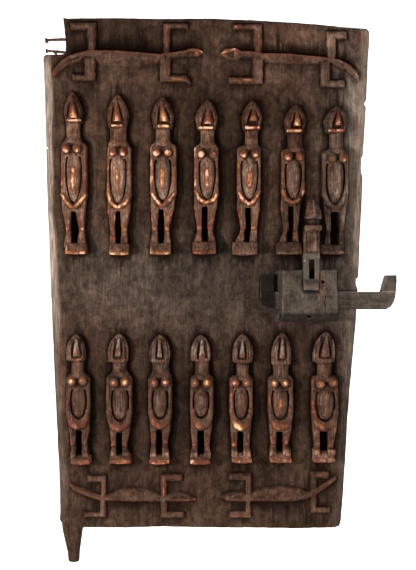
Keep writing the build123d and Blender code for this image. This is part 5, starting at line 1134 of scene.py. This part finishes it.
    # Rubbed wood of the figure, with painted highlights down the bulging middle of its body, along its head ridge and
    # at the rim of its head, and a pale chip on its left leg.
    wear_and_highlight = 0.30 * figure * ramp(shape_tones(fd, P)[0], 0.2, 0.8)
    for s, args, lo in ((0.42, (339.0, 468, 338.8, 446, 3.0), 58), (0.30, (343.4, 470, 343.0, 444, 0.9), 55),
                        (0.40, (336.2, 513, 337.8, 494, 1.6), 57), (0.40, (327.0, 489.6, 330.5, 489.8, 1.2), 50),
                        (0.40, (344.0, 489.8, 347.6, 489.4, 1.2), 50), (0.30, (334.0, 468, 334.0, 446, 1.2), 58),
                        (0.30, (294.6, 372.5, 295.0, 364.0, 0.9), 48), (0.25, (326.0, 436.5, 344.5, 436.5, 1.5), 58),
                        (0.30, (371.0, 384.0, 371.4, 366.0, 1.2), 40), (0.25, (326.5, 394.5, 340.0, 394.0, 1.6), 58)):
        wear_and_highlight = np.maximum(wear_and_highlight, s * stroke(P, *args) * ramp(P[:, 2], lo - 2, lo))
    wear_and_highlight = np.maximum(wear_and_highlight, 0.95 * blob(P, 324.6, 430.8, 1.5, 1.5) * (P[:, 2] > 52))
    rust = np.zeros(len(P))
    for s, args in ((0.95, (345.6, 412.5, 345.2, 399.0, 1.9)), (0.85, (346.5, 399.0, 347.0, 386.5, 2.4)),
                    (0.55, (351.5, 394.0, 352.6, 387.0, 1.6)), (0.65, (344.4, 386.0, 345.4, 376.5, 2.0)),
                    (0.45, (352, 380.0, 352.0, 374.5, 1.5)), (0.50, (350, 402, 350, 402, 4.4)),
                    (0.25, (331.5, 353.9, 331.5, 351, 4.0))):
        rust = np.maximum(rust, s * stroke(P, *args) * ramp(P[:, 2], 38, 46))
    # Painted shade in the slot between the legs of the figure and under its foot block; the front also darkens along
    # its lower edge and in a patch at the upper left.
    dark = 0.75 * ramp(-P[:, 1], -361.0, -356.5) * ramp(P[:, 2], 30, 40)
    dark = np.maximum(dark, ramp(-np.abs(P[:, 0] - 334.8), -4.6, -3.4) * (P[:, 1] > 401) * (P[:, 1] < 420) * (P[:, 2] < 57))
    dark = np.maximum(dark, 0.65 * ramp(-P[:, 1], -391.5, -387.5) * ramp(P[:, 1], 383.5, 387) * (np.abs(P[:, 0] - 334) < 12) * ramp(P[:, 2], 50, 53))
    dark = np.maximum(dark, 0.4 * blob(P, 318.0, 408, 6, 11) * ramp(P[:, 2], 50, 53))
    # painted shade, with some grime, in the narrow gaps beside the figure and around its neck
    beside = np.maximum(ramp(-P[:, 0], -327.0, -325.0), ramp(P[:, 0], 343.4, 344.6))
    dark = np.maximum(dark, 0.80 * beside * ramp(-P[:, 2], -53.0, -46.0) * ramp(P[:, 1], 419.5, 424))
    dark = np.maximum(dark, 0.75 * ramp(-P[:, 2], -56.0, -50.0) * ramp(P[:, 1], 478.0, 483) * ramp(-P[:, 1], -492.0, -489.5))
    # Painted shade marking the grooves.
    for x in (327.4, 345.0):        # grooves beside the bulging middle of the body
        dark = np.maximum(dark, 0.8 * stroke(P, x, 470, x, 444, 1.0) * ramp(P[:, 2], 54, 56))
    paint(ob, "wear_and_highlight", wear_and_highlight)
    paint(ob, "rust", rust)
    paint(ob, "fig", figure * (1 - 0.7 * ramp(-P[:, 1], -446, -438)))
    paint(ob, "ash", ash)
    paint(ob, "dark", dark)
    return ob


def sculpt_bolt():
    fd = Field((261, 359.5, -0.5), (461, 415, 32), 0.8)
    X, Z, H = (a for a in fd.ax)
    X, Z, H = X[:, None, None], Z[None, :, None], H[None, None, :]
    arc = [(264.8 + 14 - 14 * math.cos(a), 363.1 + 14 - 14 * math.sin(a)) for a in np.linspace(math.pi / 2, 0, 7)]
    outline = [(x, z) for x, z in arc] + [(264.9, 410.9), (284.2, 411.6), (284.4, 388.3)]
    outline += [(436.4, 388.0), (438.8, 397.0), (442.9, 411.2), (457.2, 411.4), (457.0, 401.0), (456.0, 390.4),
                (454.8, 381.5), (453.0, 374.6), (449.0, 367.4), (441.3, 363.1), (360.0, 363.3)]
    side = polygon(X, Z, outline)
    body = slab(side, H, 29.0, 1.3)
    body = smax(body, 2.0 - H, 0.8)
    # the hook is thinned towards its tip
    body = smax(body, H - 29.0 + 0.16 * np.maximum(Z - 385, 0) * ramp(X, 425, 436), 1.2)
    key = np.maximum(np.maximum(np.maximum(366.9 - Z, Z - 375.9), np.maximum(6.0 - H, H - 18.0)), X - 337.0)
    hole = key
    for x in (304.5, 328.5):
        m = np.maximum(np.maximum(np.abs(X - x) - 5.3, 376.1 - Z), H - 22.1)
        hole = np.minimum(hole, m)
    body = smax(body, -hole, 0.4)
    fd.v = body.astype(np.float32)

    def cuts(P):
        inner = (P[:, 0] < 342) & (P[:, 0] > 266.5) & (P[:, 1] > 366) & (P[:, 1] < 388) & (P[:, 2] < 23) & (P[:, 2] > 3)
        return np.where(inner, 0.0, 0.8)

    ob, P = sculpt("bolt_bar", fd, "bolt", "bolt", 60000, cuts, 61, (26, 2.4, 4))
    # Rubbed edges of the bolt, also a painted highlight along the top and left edges of its head and along the top of
    # the bar and the hook.
    wear_and_highlight = np.zeros(len(P))
    for s, args, lo in ((0.45, (265.6, 410, 265.6, 380, 1.0), 24), (0.30, (266, 410.6, 283.5, 410.8, 1.0), 24),
                        (0.75, (377, 387.6, 456, 387.9, 0.8), 24), (0.35, (437.5, 390, 443.5, 410.4, 1.0), 22),
                        (0.30, (373, 384.5, 402, 384.9, 1.0), 26), (0.25, (268, 370, 276, 364.5, 1.2), 24)):
        wear_and_highlight = np.maximum(wear_and_highlight, s * stroke(P, *args) * ramp(P[:, 2], lo - 3, lo))
    rust = 0.75 * stroke(P, 372.5, 385.6, 380.0, 384.4, 1.9) * (P[:, 2] > 24)
    paint(ob, "wear_and_highlight", wear_and_highlight)
    paint(ob, "rust", rust)
    paint(ob, "fig", np.zeros(len(P)))
    paint(ob, "ash", 0.35 * ramp(P[:, 0], 430, 440) * ramp(P[:, 2], 20, 24))
    paint(ob, "dark", np.maximum(0.90 * ramp(-P[:, 0], -290, -284), 0.6 * ramp(-P[:, 1], -366, -363.4)))
    return ob


def forge_nail(name, node, path, head, seed):
    """A bent, rusted nail: path of (x, z, h, radius), its head at the last point."""
    xs = [p[0] for p in path]
    fd = Field((min(xs) - 8, min(p[1] for p in path) - 8, min(p[2] for p in path) - 8),
               (max(xs) + 4, max(p[1] for p in path) + 8, max(p[2] for p in path) + 8), 0.45)
    X, Z, H = (a for a in fd.ax)
    X, Z, H = X[:, None, None], Z[None, :, None], H[None, None, :]
    body = None
    for a, b in zip(path, path[1:]):
        seg = rod(X, Z, H, a[:3], b[:3], a[3], b[3], filled=False)
        body = seg if body is None else smin(body, seg, 0.8)
    for c, r in head:
        q = np.sqrt(((X - c[0]) / r[0]) ** 2 + ((Z - c[1]) / r[1]) ** 2 + ((H - c[2]) / r[2]) ** 2)
        body = smin(body, (q - 1) * min(r), 1.0)
    fd.v = body.astype(np.float32)
    points, quads = skin(fd)
    ob = build_mesh(name, points, quads)
    P = points.astype(np.float64)
    push(ob, 0.20 * noise(P, (1.9, 1.9, 1.9), seed) + 0.12 * noise(P, (0.9, 0.9, 0.9), seed + 1))
    thin_out(ob, 9000)
    P = from_world(get_points(ob.data)).astype(np.float64)
    edge, full = shape_tones(fd, P)
    paint(ob, "rim", ramp(edge, 0.1, 0.8))
    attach(ob, "leaf")
    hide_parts(node)
    return ob


leaf = sculpt_leaf()
case = sculpt_case()
bolt = sculpt_bolt()
nail_up = forge_nail("pivot_nail_bent_upper", "pivot_nail_upper",
                     [(12, 751.6, -17.0, 1.6), (-8, 752.2, -17.2, 2.0), (-20, 752.8, -17.4, 2.15), (-30, 752.4, -17.8, 2.0),
                      (-41.0, 752.0, -18.0, 2.0)],
                     [((-42.8, 751.8, -18.0), (1.6, 3.8, 3.7)), ((-41.2, 748.8, -17.6), (1.9, 2.0, 2.2)),
                      ((-33.0, 751.2, -16.0), (2.4, 1.2, 1.3))], 71)
nail_low = forge_nail("pivot_nail_bent_lower", "pivot_nail_lower",
                      [(12, 731.2, -12.0, 1.45), (-9, 731.9, -12.4, 1.75), (-18, 733.2, -12.8, 1.9), (-25, 734.2, -13.0, 1.95),
                       (-39.0, 735.0, -13.0, 1.7)],
                      [((-41.0, 735.2, -13.0), (1.6, 3.6, 3.6)), ((-28.5, 732.2, -11.8), (2.4, 1.9, 2.0)),
                       ((-27.0, 729.8, -12.2), (1.0, 1.6, 1.1))], 75)


# ------------------------------------------------------------------ materials
class Paint:
    """A node material with short ways to add the nodes that all woods share."""

    def __init__(self, name):
        self.mat = bpy.data.materials.new(name)
        self.mat.use_nodes = True
        self.nt = self.mat.node_tree
        self.nt.nodes.clear()
        self.out = self.nt.nodes.new("ShaderNodeOutputMaterial")
        self.bsdf = self.nt.nodes.new("ShaderNodeBsdfPrincipled")
        self.nt.links.new(self.bsdf.outputs[0], self.out.inputs[0])
        self.coord = self.nt.nodes.new("ShaderNodeTexCoord").outputs["Object"]

    def put(self, socket, value):
        if isinstance(value, bpy.types.NodeSocket):
            self.nt.links.new(value, socket)
        elif isinstance(value, (tuple, list)):
            socket.default_value = (*value, 1.0)[:len(socket.default_value)]
        else:
            socket.default_value = value

    def math(self, op, a, b=0.0, c=0.0, clamp=False):
        n = self.nt.nodes.new("ShaderNodeMath")
        n.operation, n.use_clamp = op, clamp
        for s, v in zip(n.inputs, (a, b, c)):
            self.put(s, v)
        return n.outputs[0]

    def mix(self, fac, a, b, how="MIX"):
        n = self.nt.nodes.new("ShaderNodeMix")
        n.data_type, n.blend_type, n.clamp_factor = "RGBA", how, True
        self.put(n.inputs[0], fac)
        self.put(n.inputs[6], a)
        self.put(n.inputs[7], b)
        return n.outputs[2]

    def noise(self, scale, size=1.0, detail=4.0, rough=0.55, bend=0.0, shift=(0, 0, 0)):
        m = self.nt.nodes.new("ShaderNodeMapping")
        m.inputs["Scale"].default_value = scale
        m.inputs["Location"].default_value = shift
        self.nt.links.new(self.coord, m.inputs[0])
        n = self.nt.nodes.new("ShaderNodeTexNoise")
        self.nt.links.new(m.outputs[0], n.inputs["Vector"])
        for k, v in (("Scale", size), ("Detail", detail), ("Roughness", rough), ("Distortion", bend)):
            n.inputs[k].default_value = v
        return n.outputs["Fac"]

    def ramp(self, fac, stops):
        n = self.nt.nodes.new("ShaderNodeValToRGB")
        e = n.color_ramp.elements
        while len(e) < len(stops):
            e.new(0.5)
        for el, (pos, col) in zip(e, stops):
            el.position, el.color = pos, (*col, 1.0)
        self.put(n.inputs[0], fac)
        return n.outputs[0]

    def range(self, v, lo, hi, a=0.0, b=1.0, smooth=True):
        n = self.nt.nodes.new("ShaderNodeMapRange")
        n.interpolation_type = "SMOOTHSTEP" if smooth else "LINEAR"
        self.put(n.inputs["Value"], v)
        for k, x in (("From Min", lo), ("From Max", hi), ("To Min", a), ("To Max", b)):
            n.inputs[k].default_value = x
        return n.outputs[0]

    def attr(self, name):
        n = self.nt.nodes.new("ShaderNodeAttribute")
        n.attribute_name = name
        return n.outputs["Fac"]

    def bump(self, layers):
        """layers: (height, distance in metres, strength), the finest last."""
        normal = None
        for height, distance, strength in layers:
            b = self.nt.nodes.new("ShaderNodeBump")
            b.inputs["Strength"].default_value = strength
            b.inputs["Distance"].default_value = distance
            self.put(b.inputs["Height"], height)
            if normal is not None:
                self.nt.links.new(normal, b.inputs["Normal"])
            normal = b.outputs[0]
        self.nt.links.new(normal, self.bsdf.inputs["Normal"])

    def finish(self, color, rough, specular, tint=(1.0, 0.90, 0.80)):
        self.put(self.bsdf.inputs["Base Color"], color)
        self.put(self.bsdf.inputs["Roughness"], rough)
        self.bsdf.inputs["Specular IOR Level"].default_value = specular
        self.bsdf.inputs["Specular Tint"].default_value = (*tint, 1.0)
        return self.mat


def rub_and_highlight_colours(p, base, wear_and_highlight, tint):
    """Patina rubbed through to reddish, then orange wood; these colours also paint the highlights and sheen."""
    red = p.mix(tint, (0.105, 0.030, 0.018), (0.130, 0.045, 0.022))
    orange = p.mix(tint, (0.30, 0.095, 0.050), (0.33, 0.130, 0.052))
    light = p.mix(tint, (0.86, 0.47, 0.31), (0.88, 0.54, 0.28))
    c = p.mix(p.range(wear_and_highlight, 0.08, 0.42), base, red)
    c = p.mix(p.range(wear_and_highlight, 0.34, 0.74), c, orange)
    return p.mix(p.range(wear_and_highlight, 0.66, 1.06), c, light)


def door_wood():
    p = Paint("door_wood_patina")
    fine = p.noise((420, 420, 34), 1.0, 5, 0.62, 0.3)
    grain = p.noise((120, 120, 13), 1.0, 5, 0.6, 0.5, (3, 1, 2))
    broad = p.noise((34, 34, 22), 1.0, 5, 0.6, 0.5, (5, 2, 8))
    cloud = p.noise((11, 11, 11), 1.0, 4, 0.55, 0.3, (1, 9, 4))
    speck = p.noise((360, 360, 360), 1.0, 3, 0.65, 0.0, (2, 5, 1))
    tone = p.math("ADD", p.math("MULTIPLY", grain, 0.22), p.math("MULTIPLY", broad, 0.78))
    mottle = p.noise((105, 105, 95), 1.0, 6, 0.74, 0.5, (6, 2, 4))
    ground = p.ramp(tone, [(0.33, (0.0217, 0.0119, 0.0074)), (0.50, (0.0409, 0.0229, 0.0144)), (0.66, (0.0657, 0.0386, 0.0254))])
    ground = p.mix(p.range(cloud, 0.45, 0.66, 0, 0.5), ground, (0.0535, 0.0270, 0.0173))
    haze = p.mix(p.range(broad, 0.35, 0.65), (0.040, 0.0305, 0.0248), (0.073, 0.0580, 0.0475))
    ground = p.mix(p.math("MULTIPLY", p.attr("grey"), 0.80), ground, haze)
    # the figures carry a redder film that takes the light
    film = p.mix(p.range(tone, 0.36, 0.64), (0.0646, 0.0284, 0.0176), (0.1717, 0.0893, 0.0580))
    film = p.mix(p.range(cloud, 0.42, 0.62, 0, 0.45), film, (0.1192, 0.0744, 0.0504))
    film = p.mix(p.math("MULTIPLY", p.attr("grey"), 0.9), film, p.mix(p.range(tone, 0.36, 0.64), (0.0768, 0.0532, 0.0387), (0.1838, 0.1349, 0.0994)))
    base = p.mix(p.attr("fig"), ground, film)
    base = p.mix(1.0, base, p.range(fine, 0.32, 0.70, 0.74, 1.28), "MULTIPLY")
    base = p.mix(1.0, base, p.range(mottle, 0.36, 0.64, 0.60, 1.42), "MULTIPLY")
    base = p.mix(p.attr("fig"), base, p.mix(1.0, base, p.range(fine, 0.36, 0.64, 0.76, 1.34), "MULTIPLY"))
    base = p.mix(1.0, base, p.attr("tone"), "MULTIPLY")
    base = p.mix(p.range(speck, 0.62, 0.74, 0, 0.45), base, (0.085, 0.060, 0.043))
    base = p.mix(p.range(speck, 0.28, 0.38, 0.55, 0.0), base, (0.008, 0.005, 0.0035))
    pale = p.math("MULTIPLY", p.attr("pale"), p.range(p.math("ADD", p.math("MULTIPLY", grain, 0.5), p.math("MULTIPLY", cloud, 0.5)), 0.36, 0.60, 0.50, 1.0))
    base = p.mix(pale, base, p.mix(p.range(fine, 0.35, 0.65), (0.210, 0.155, 0.117), (0.480, 0.370, 0.285)))
    # rubbed places, and painted highlights and sheen
    soft = p.noise((300, 300, 190), 1.0, 4, 0.65, 0.4, (4, 4, 7))
    patch = p.noise((95, 95, 70), 1.0, 3, 0.6, 0.3, (9, 9, 1))
    wear_and_highlight = p.math("MULTIPLY", p.attr("wear_and_highlight"), p.math("MULTIPLY", p.range(soft, 0.30, 0.70, 0.74, 1.14), p.range(patch, 0.34, 0.62, 0.72, 1.16)))
    # The edges of the figures are lightened too, as wear and as a painted highlight.
    wear_and_highlight = p.math("ADD", wear_and_highlight, p.math("MULTIPLY", p.math("MULTIPLY", p.attr("rim"), p.attr("fig")), p.range(patch, 0.42, 0.66, 0.0, 0.28)))
    tint = p.range(p.noise((26, 26, 22), 1.0, 2, 0.5, 0, (6, 6, 6)), 0.40, 0.60)
    color = rub_and_highlight_colours(p, base, wear_and_highlight, tint)
    # Painted shade: creases and hollows go towards black.
    color = p.mix(p.math("MULTIPLY", p.attr("crease_shade"), 0.72), color, (0.0080, 0.0045, 0.0032))
    color = p.mix(p.math("MULTIPLY", p.attr("shade_and_grime"), 0.95, clamp=True), color, (0.0022, 0.0014, 0.0010))
    rough = p.math("SUBTRACT", p.range(grain, 0.3, 0.7, 0.64, 0.80), p.math("MULTIPLY", p.attr("fig"), 0.34))
    rough = p.math("ADD", rough, p.math("MULTIPLY", p.math("MAXIMUM", p.attr("shade_and_grime"), p.attr("crease_shade")), 0.5), clamp=True)
    p.bump([(broad, 0.0010, 0.25), (mottle, 0.0009, 0.30), (grain, 0.00045, 0.30), (fine, 0.00018, 0.30), (speck, 0.00014, 0.35)])
    return p.finish(color, rough, 0.06, (1.0, 0.80, 0.66))


def grey_wood(name, lift, length):
    """Weathered grey brown wood of the lock; length: which way its grain runs."""
    p = Paint(name)
    s = (12, 90, 90) if length == "x" else (90, 90, 11)
    f = (34, 420, 420) if length == "x" else (420, 420, 34)
    grain = p.noise(s, 1.0, 5, 0.6, 0.5, (2, 7, 1))
    fine = p.noise(f, 1.0, 4, 0.6, 0.2, (1, 1, 5))
    cloud = p.noise((55, 55, 55), 1.0, 4, 0.6, 0.4, (7, 2, 2))
    speck = p.noise((300, 300, 300), 1.0, 3, 0.65, 0, (5, 5, 2))
    tone = p.math("ADD", p.math("MULTIPLY", grain, 0.4), p.math("MULTIPLY", cloud, 0.6))
    base = p.ramp(tone, [(0.32, tuple(v * lift for v in (0.030, 0.0230, 0.0178))), (0.50, tuple(v * lift for v in (0.060, 0.0468, 0.0370))),
                         (0.66, tuple(v * lift for v in (0.104, 0.0825, 0.0665)))])
    base = p.mix(1.0, base, p.range(fine, 0.3, 0.7, 0.82, 1.18), "MULTIPLY")
    mottle = p.noise((170, 170, 170), 1.0, 6, 0.74, 0.5, (3, 8, 6))
    base = p.mix(1.0, base, p.range(mottle, 0.36, 0.64, 0.66, 1.38), "MULTIPLY")
    base = p.mix(p.range(mottle, 0.50, 0.66, 0, 0.55), base, (0.080, 0.055, 0.038))
    base = p.mix(p.range(speck, 0.64, 0.76, 0, 0.40), base, (0.135, 0.110, 0.086))
    base = p.mix(p.range(speck, 0.28, 0.36, 0.5, 0), base, (0.014, 0.012, 0.010))
    figure = p.mix(p.range(cloud, 0.36, 0.62), (0.024, 0.0115, 0.0078), (0.130, 0.066, 0.045))
    base = p.mix(p.attr("fig"), base, figure)
    base = p.mix(p.math("MULTIPLY", p.attr("ash"), p.range(cloud, 0.3, 0.7, 0.55, 1.0)), base, (0.092, 0.080, 0.064))
    wear_and_highlight = p.math("MULTIPLY", p.attr("wear_and_highlight"), p.range(cloud, 0.3, 0.7, 0.75, 1.2))
    base = p.mix(p.range(wear_and_highlight, 0.10, 0.95), base, (0.42, 0.28, 0.20))
    rust = p.math("MULTIPLY", p.attr("rust"), p.range(speck, 0.35, 0.65, 0.6, 1.25))
    base = p.mix(p.range(rust, 0.12, 0.60, 0, 0.85), base, p.mix(p.range(speck, 0.4, 0.6), (0.085, 0.034, 0.014), (0.19, 0.082, 0.032)))
    # Painted shade: creases, the marked dark places and hollows are darkened towards black; the edges are lightened as
    # wear and as a painted highlight.
    base = p.mix(p.math("MULTIPLY", p.attr("crease_shade"), 0.70), base, (0.0075, 0.0058, 0.0045))
    base = p.mix(p.math("MULTIPLY", p.attr("dark"), 0.98), base, (0.0030, 0.0026, 0.0020))
    base = p.mix(p.math("MULTIPLY", p.attr("shade_and_grime"), 0.85), base, (0.007, 0.006, 0.005))
    base = p.mix(p.math("MULTIPLY", p.attr("rim"), p.range(cloud, 0.4, 0.65, 0.05, 0.30)), base, (0.15, 0.118, 0.095))
    p.bump([(cloud, 0.0009, 0.25), (mottle, 0.0008, 0.35), (grain, 0.0004, 0.25), (fine, 0.00015, 0.3), (speck, 0.0002, 0.4)])
    rough = p.math("ADD", p.range(grain, 0.3, 0.7, 0.50, 0.66), p.math("MULTIPLY", p.math("MAXIMUM", p.attr("dark"), p.attr("shade_and_grime")), 0.5), clamp=True)
    return p.finish(base, rough, 0.10)


def rusty_iron():
    p = Paint("rusted_iron")
    a = p.noise((210, 210, 210), 1.0, 5, 0.6, 0.3)
    b = p.noise((620, 620, 620), 1.0, 3, 0.6, 0.0, (3, 3, 3))
    base = p.ramp(a, [(0.34, (0.018, 0.006, 0.005)), (0.50, (0.060, 0.016, 0.010)), (0.66, (0.15, 0.045, 0.018))])
    base = p.mix(p.range(b, 0.58, 0.72, 0, 0.5), base, (0.26, 0.10, 0.045))
    base = p.mix(p.math("MULTIPLY", p.attr("rim"), 0.25), base, (0.22, 0.085, 0.04))
    p.bump([(a, 0.0008, 0.5), (b, 0.0003, 0.5)])
    return p.finish(base, p.range(a, 0.3, 0.7, 0.62, 0.85), 0.3)


def sunk_iron():
    """Nail heads deep in their dark holes."""
    p = Paint("sunk_rusted_iron")
    a = p.noise((400, 400, 400), 1.0, 4, 0.6, 0.3)
    base = p.ramp(a, [(0.36, (0.006, 0.003, 0.0025)), (0.60, (0.022, 0.008, 0.005))])
    p.bump([(a, 0.0005, 0.5)])
    return p.finish(base, p.range(a, 0.3, 0.7, 0.70, 0.9), 0.2)


def cut_wood():
    """Plain wood of the hidden tumblers."""
    p = Paint("tumbler_wood_plain")
    g = p.noise((160, 160, 12), 1.0, 5, 0.6, 0.4)
    c = p.noise((40, 40, 40), 1.0, 3, 0.5, 0.2)
    base = p.ramp(g, [(0.32, (0.085, 0.052, 0.032)), (0.55, (0.155, 0.102, 0.062)), (0.70, (0.22, 0.155, 0.10))])
    base = p.mix(p.range(c, 0.5, 0.7, 0, 0.5), base, (0.07, 0.05, 0.036))
    p.bump([(g, 0.0004, 0.4)])
    return p.finish(base, p.range(g, 0.3, 0.7, 0.55, 0.7), 0.3)


iron = rusty_iron()
sunk = sunk_iron()
tumbler = cut_wood()
for ob, m in ((leaf, door_wood()), (case, grey_wood("lock_wood_grey", 1.0, "z")),
              (bolt, grey_wood("bolt_wood_grey", 1.15, "x")), (nail_up, iron), (nail_low, iron)):
    ob.data.materials.clear()
    ob.data.materials.append(m)
for name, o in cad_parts.items():
    o.data.materials.clear()
    o.data.materials.append(tumbler if name.startswith("tumbler") else sunk)


# ------------------------------------------------------------------ floor, light, camera
def sweep():
    """A pale floor that curves up into a wall far behind, so the back can be seen too."""
    line = [(-3.2, -0.30), (0.35, -0.30), (3.6, -0.30)]
    line += [(3.6 + 0.8 * math.sin(a), 0.50 - 0.8 * math.cos(a)) for a in np.linspace(0, math.pi / 2, 13)[1:]]
    line += [(4.4, 6.5)]
    me = bpy.data.meshes.new("floor")
    co = [(x, y, z) for y, z in line for x in (-5.5, 5.9)]
    me.from_pydata(co, [], [(2 * i, 2 * i + 1, 2 * i + 3, 2 * i + 2) for i in range(len(line) - 1)])
    me.polygons.foreach_set("use_smooth", [True] * len(me.polygons))
    ob = bpy.data.objects.new("floor", me)
    bpy.context.scene.collection.objects.link(ob)
    p = Paint("pale_floor")
    tone = p.noise((1.5, 1.5, 1.5), 1.0, 2, 0.5)
    split = p.nt.nodes.new("ShaderNodeSeparateXYZ")
    p.nt.links.new(p.coord, split.inputs[0])
    p.put(p.bsdf.inputs["Emission Color"], (1.0, 1.0, 1.0))
    p.put(p.bsdf.inputs["Emission Strength"], p.range(split.outputs[1], 0.30, 0.75, 0.10, 1.15))
    ob.data.materials.append(p.finish(p.range(tone, 0.3, 0.7, 0.80, 0.82), 0.9, 0.1))


def lamp(name, place, aim, size, power, tint=(1, 1, 1)):
    l = bpy.data.lights.new(name, "AREA")
    l.shape, l.size, l.energy, l.color = "DISK", size, power, tint
    o = bpy.data.objects.new(name, l)
    o.location = place
    o.rotation_euler = (Vector(aim) - Vector(place)).to_track_quat("-Z", "Y").to_euler()
    bpy.context.scene.collection.objects.link(o)


sweep()
world = bpy.data.worlds.new("studio")
world.use_nodes = True
world.node_tree.nodes["Background"].inputs[0].default_value = (1.0, 1.0, 1.0, 1)
world.node_tree.nodes["Background"].inputs[1].default_value = 0.22
bpy.context.scene.world = world
lamp("key", (-0.46, -0.92, 0.35), (0.19, 0.0, 0.40), 0.20, 11.5, (1.0, 0.975, 0.94))
lamp("side", (1.02, -0.90, 0.40), (0.22, 0.0, 0.40), 0.24, 3.2, (1.0, 0.975, 0.94))
lamp("front", (0.08, -1.62, 0.22), (0.20, 0.0, 0.40), 0.16, 5.5, (1.0, 0.97, 0.94))

cam = bpy.data.cameras.new("photo_camera")
cam.sensor_width = 36.0
cam.lens = 36.0 * 1000.0 / 570.0
cam.clip_start = 0.01
cam_ob = bpy.data.objects.new("photo_camera", cam)
cam_ob.location = (0.1919, -1.445, 0.3974)
cam_ob.rotation_euler = (math.pi / 2, 0.0, 0.0)
bpy.context.scene.collection.objects.link(cam_ob)
bpy.context.scene.camera = cam_ob
bpy.context.scene.view_settings.view_transform = "Standard"
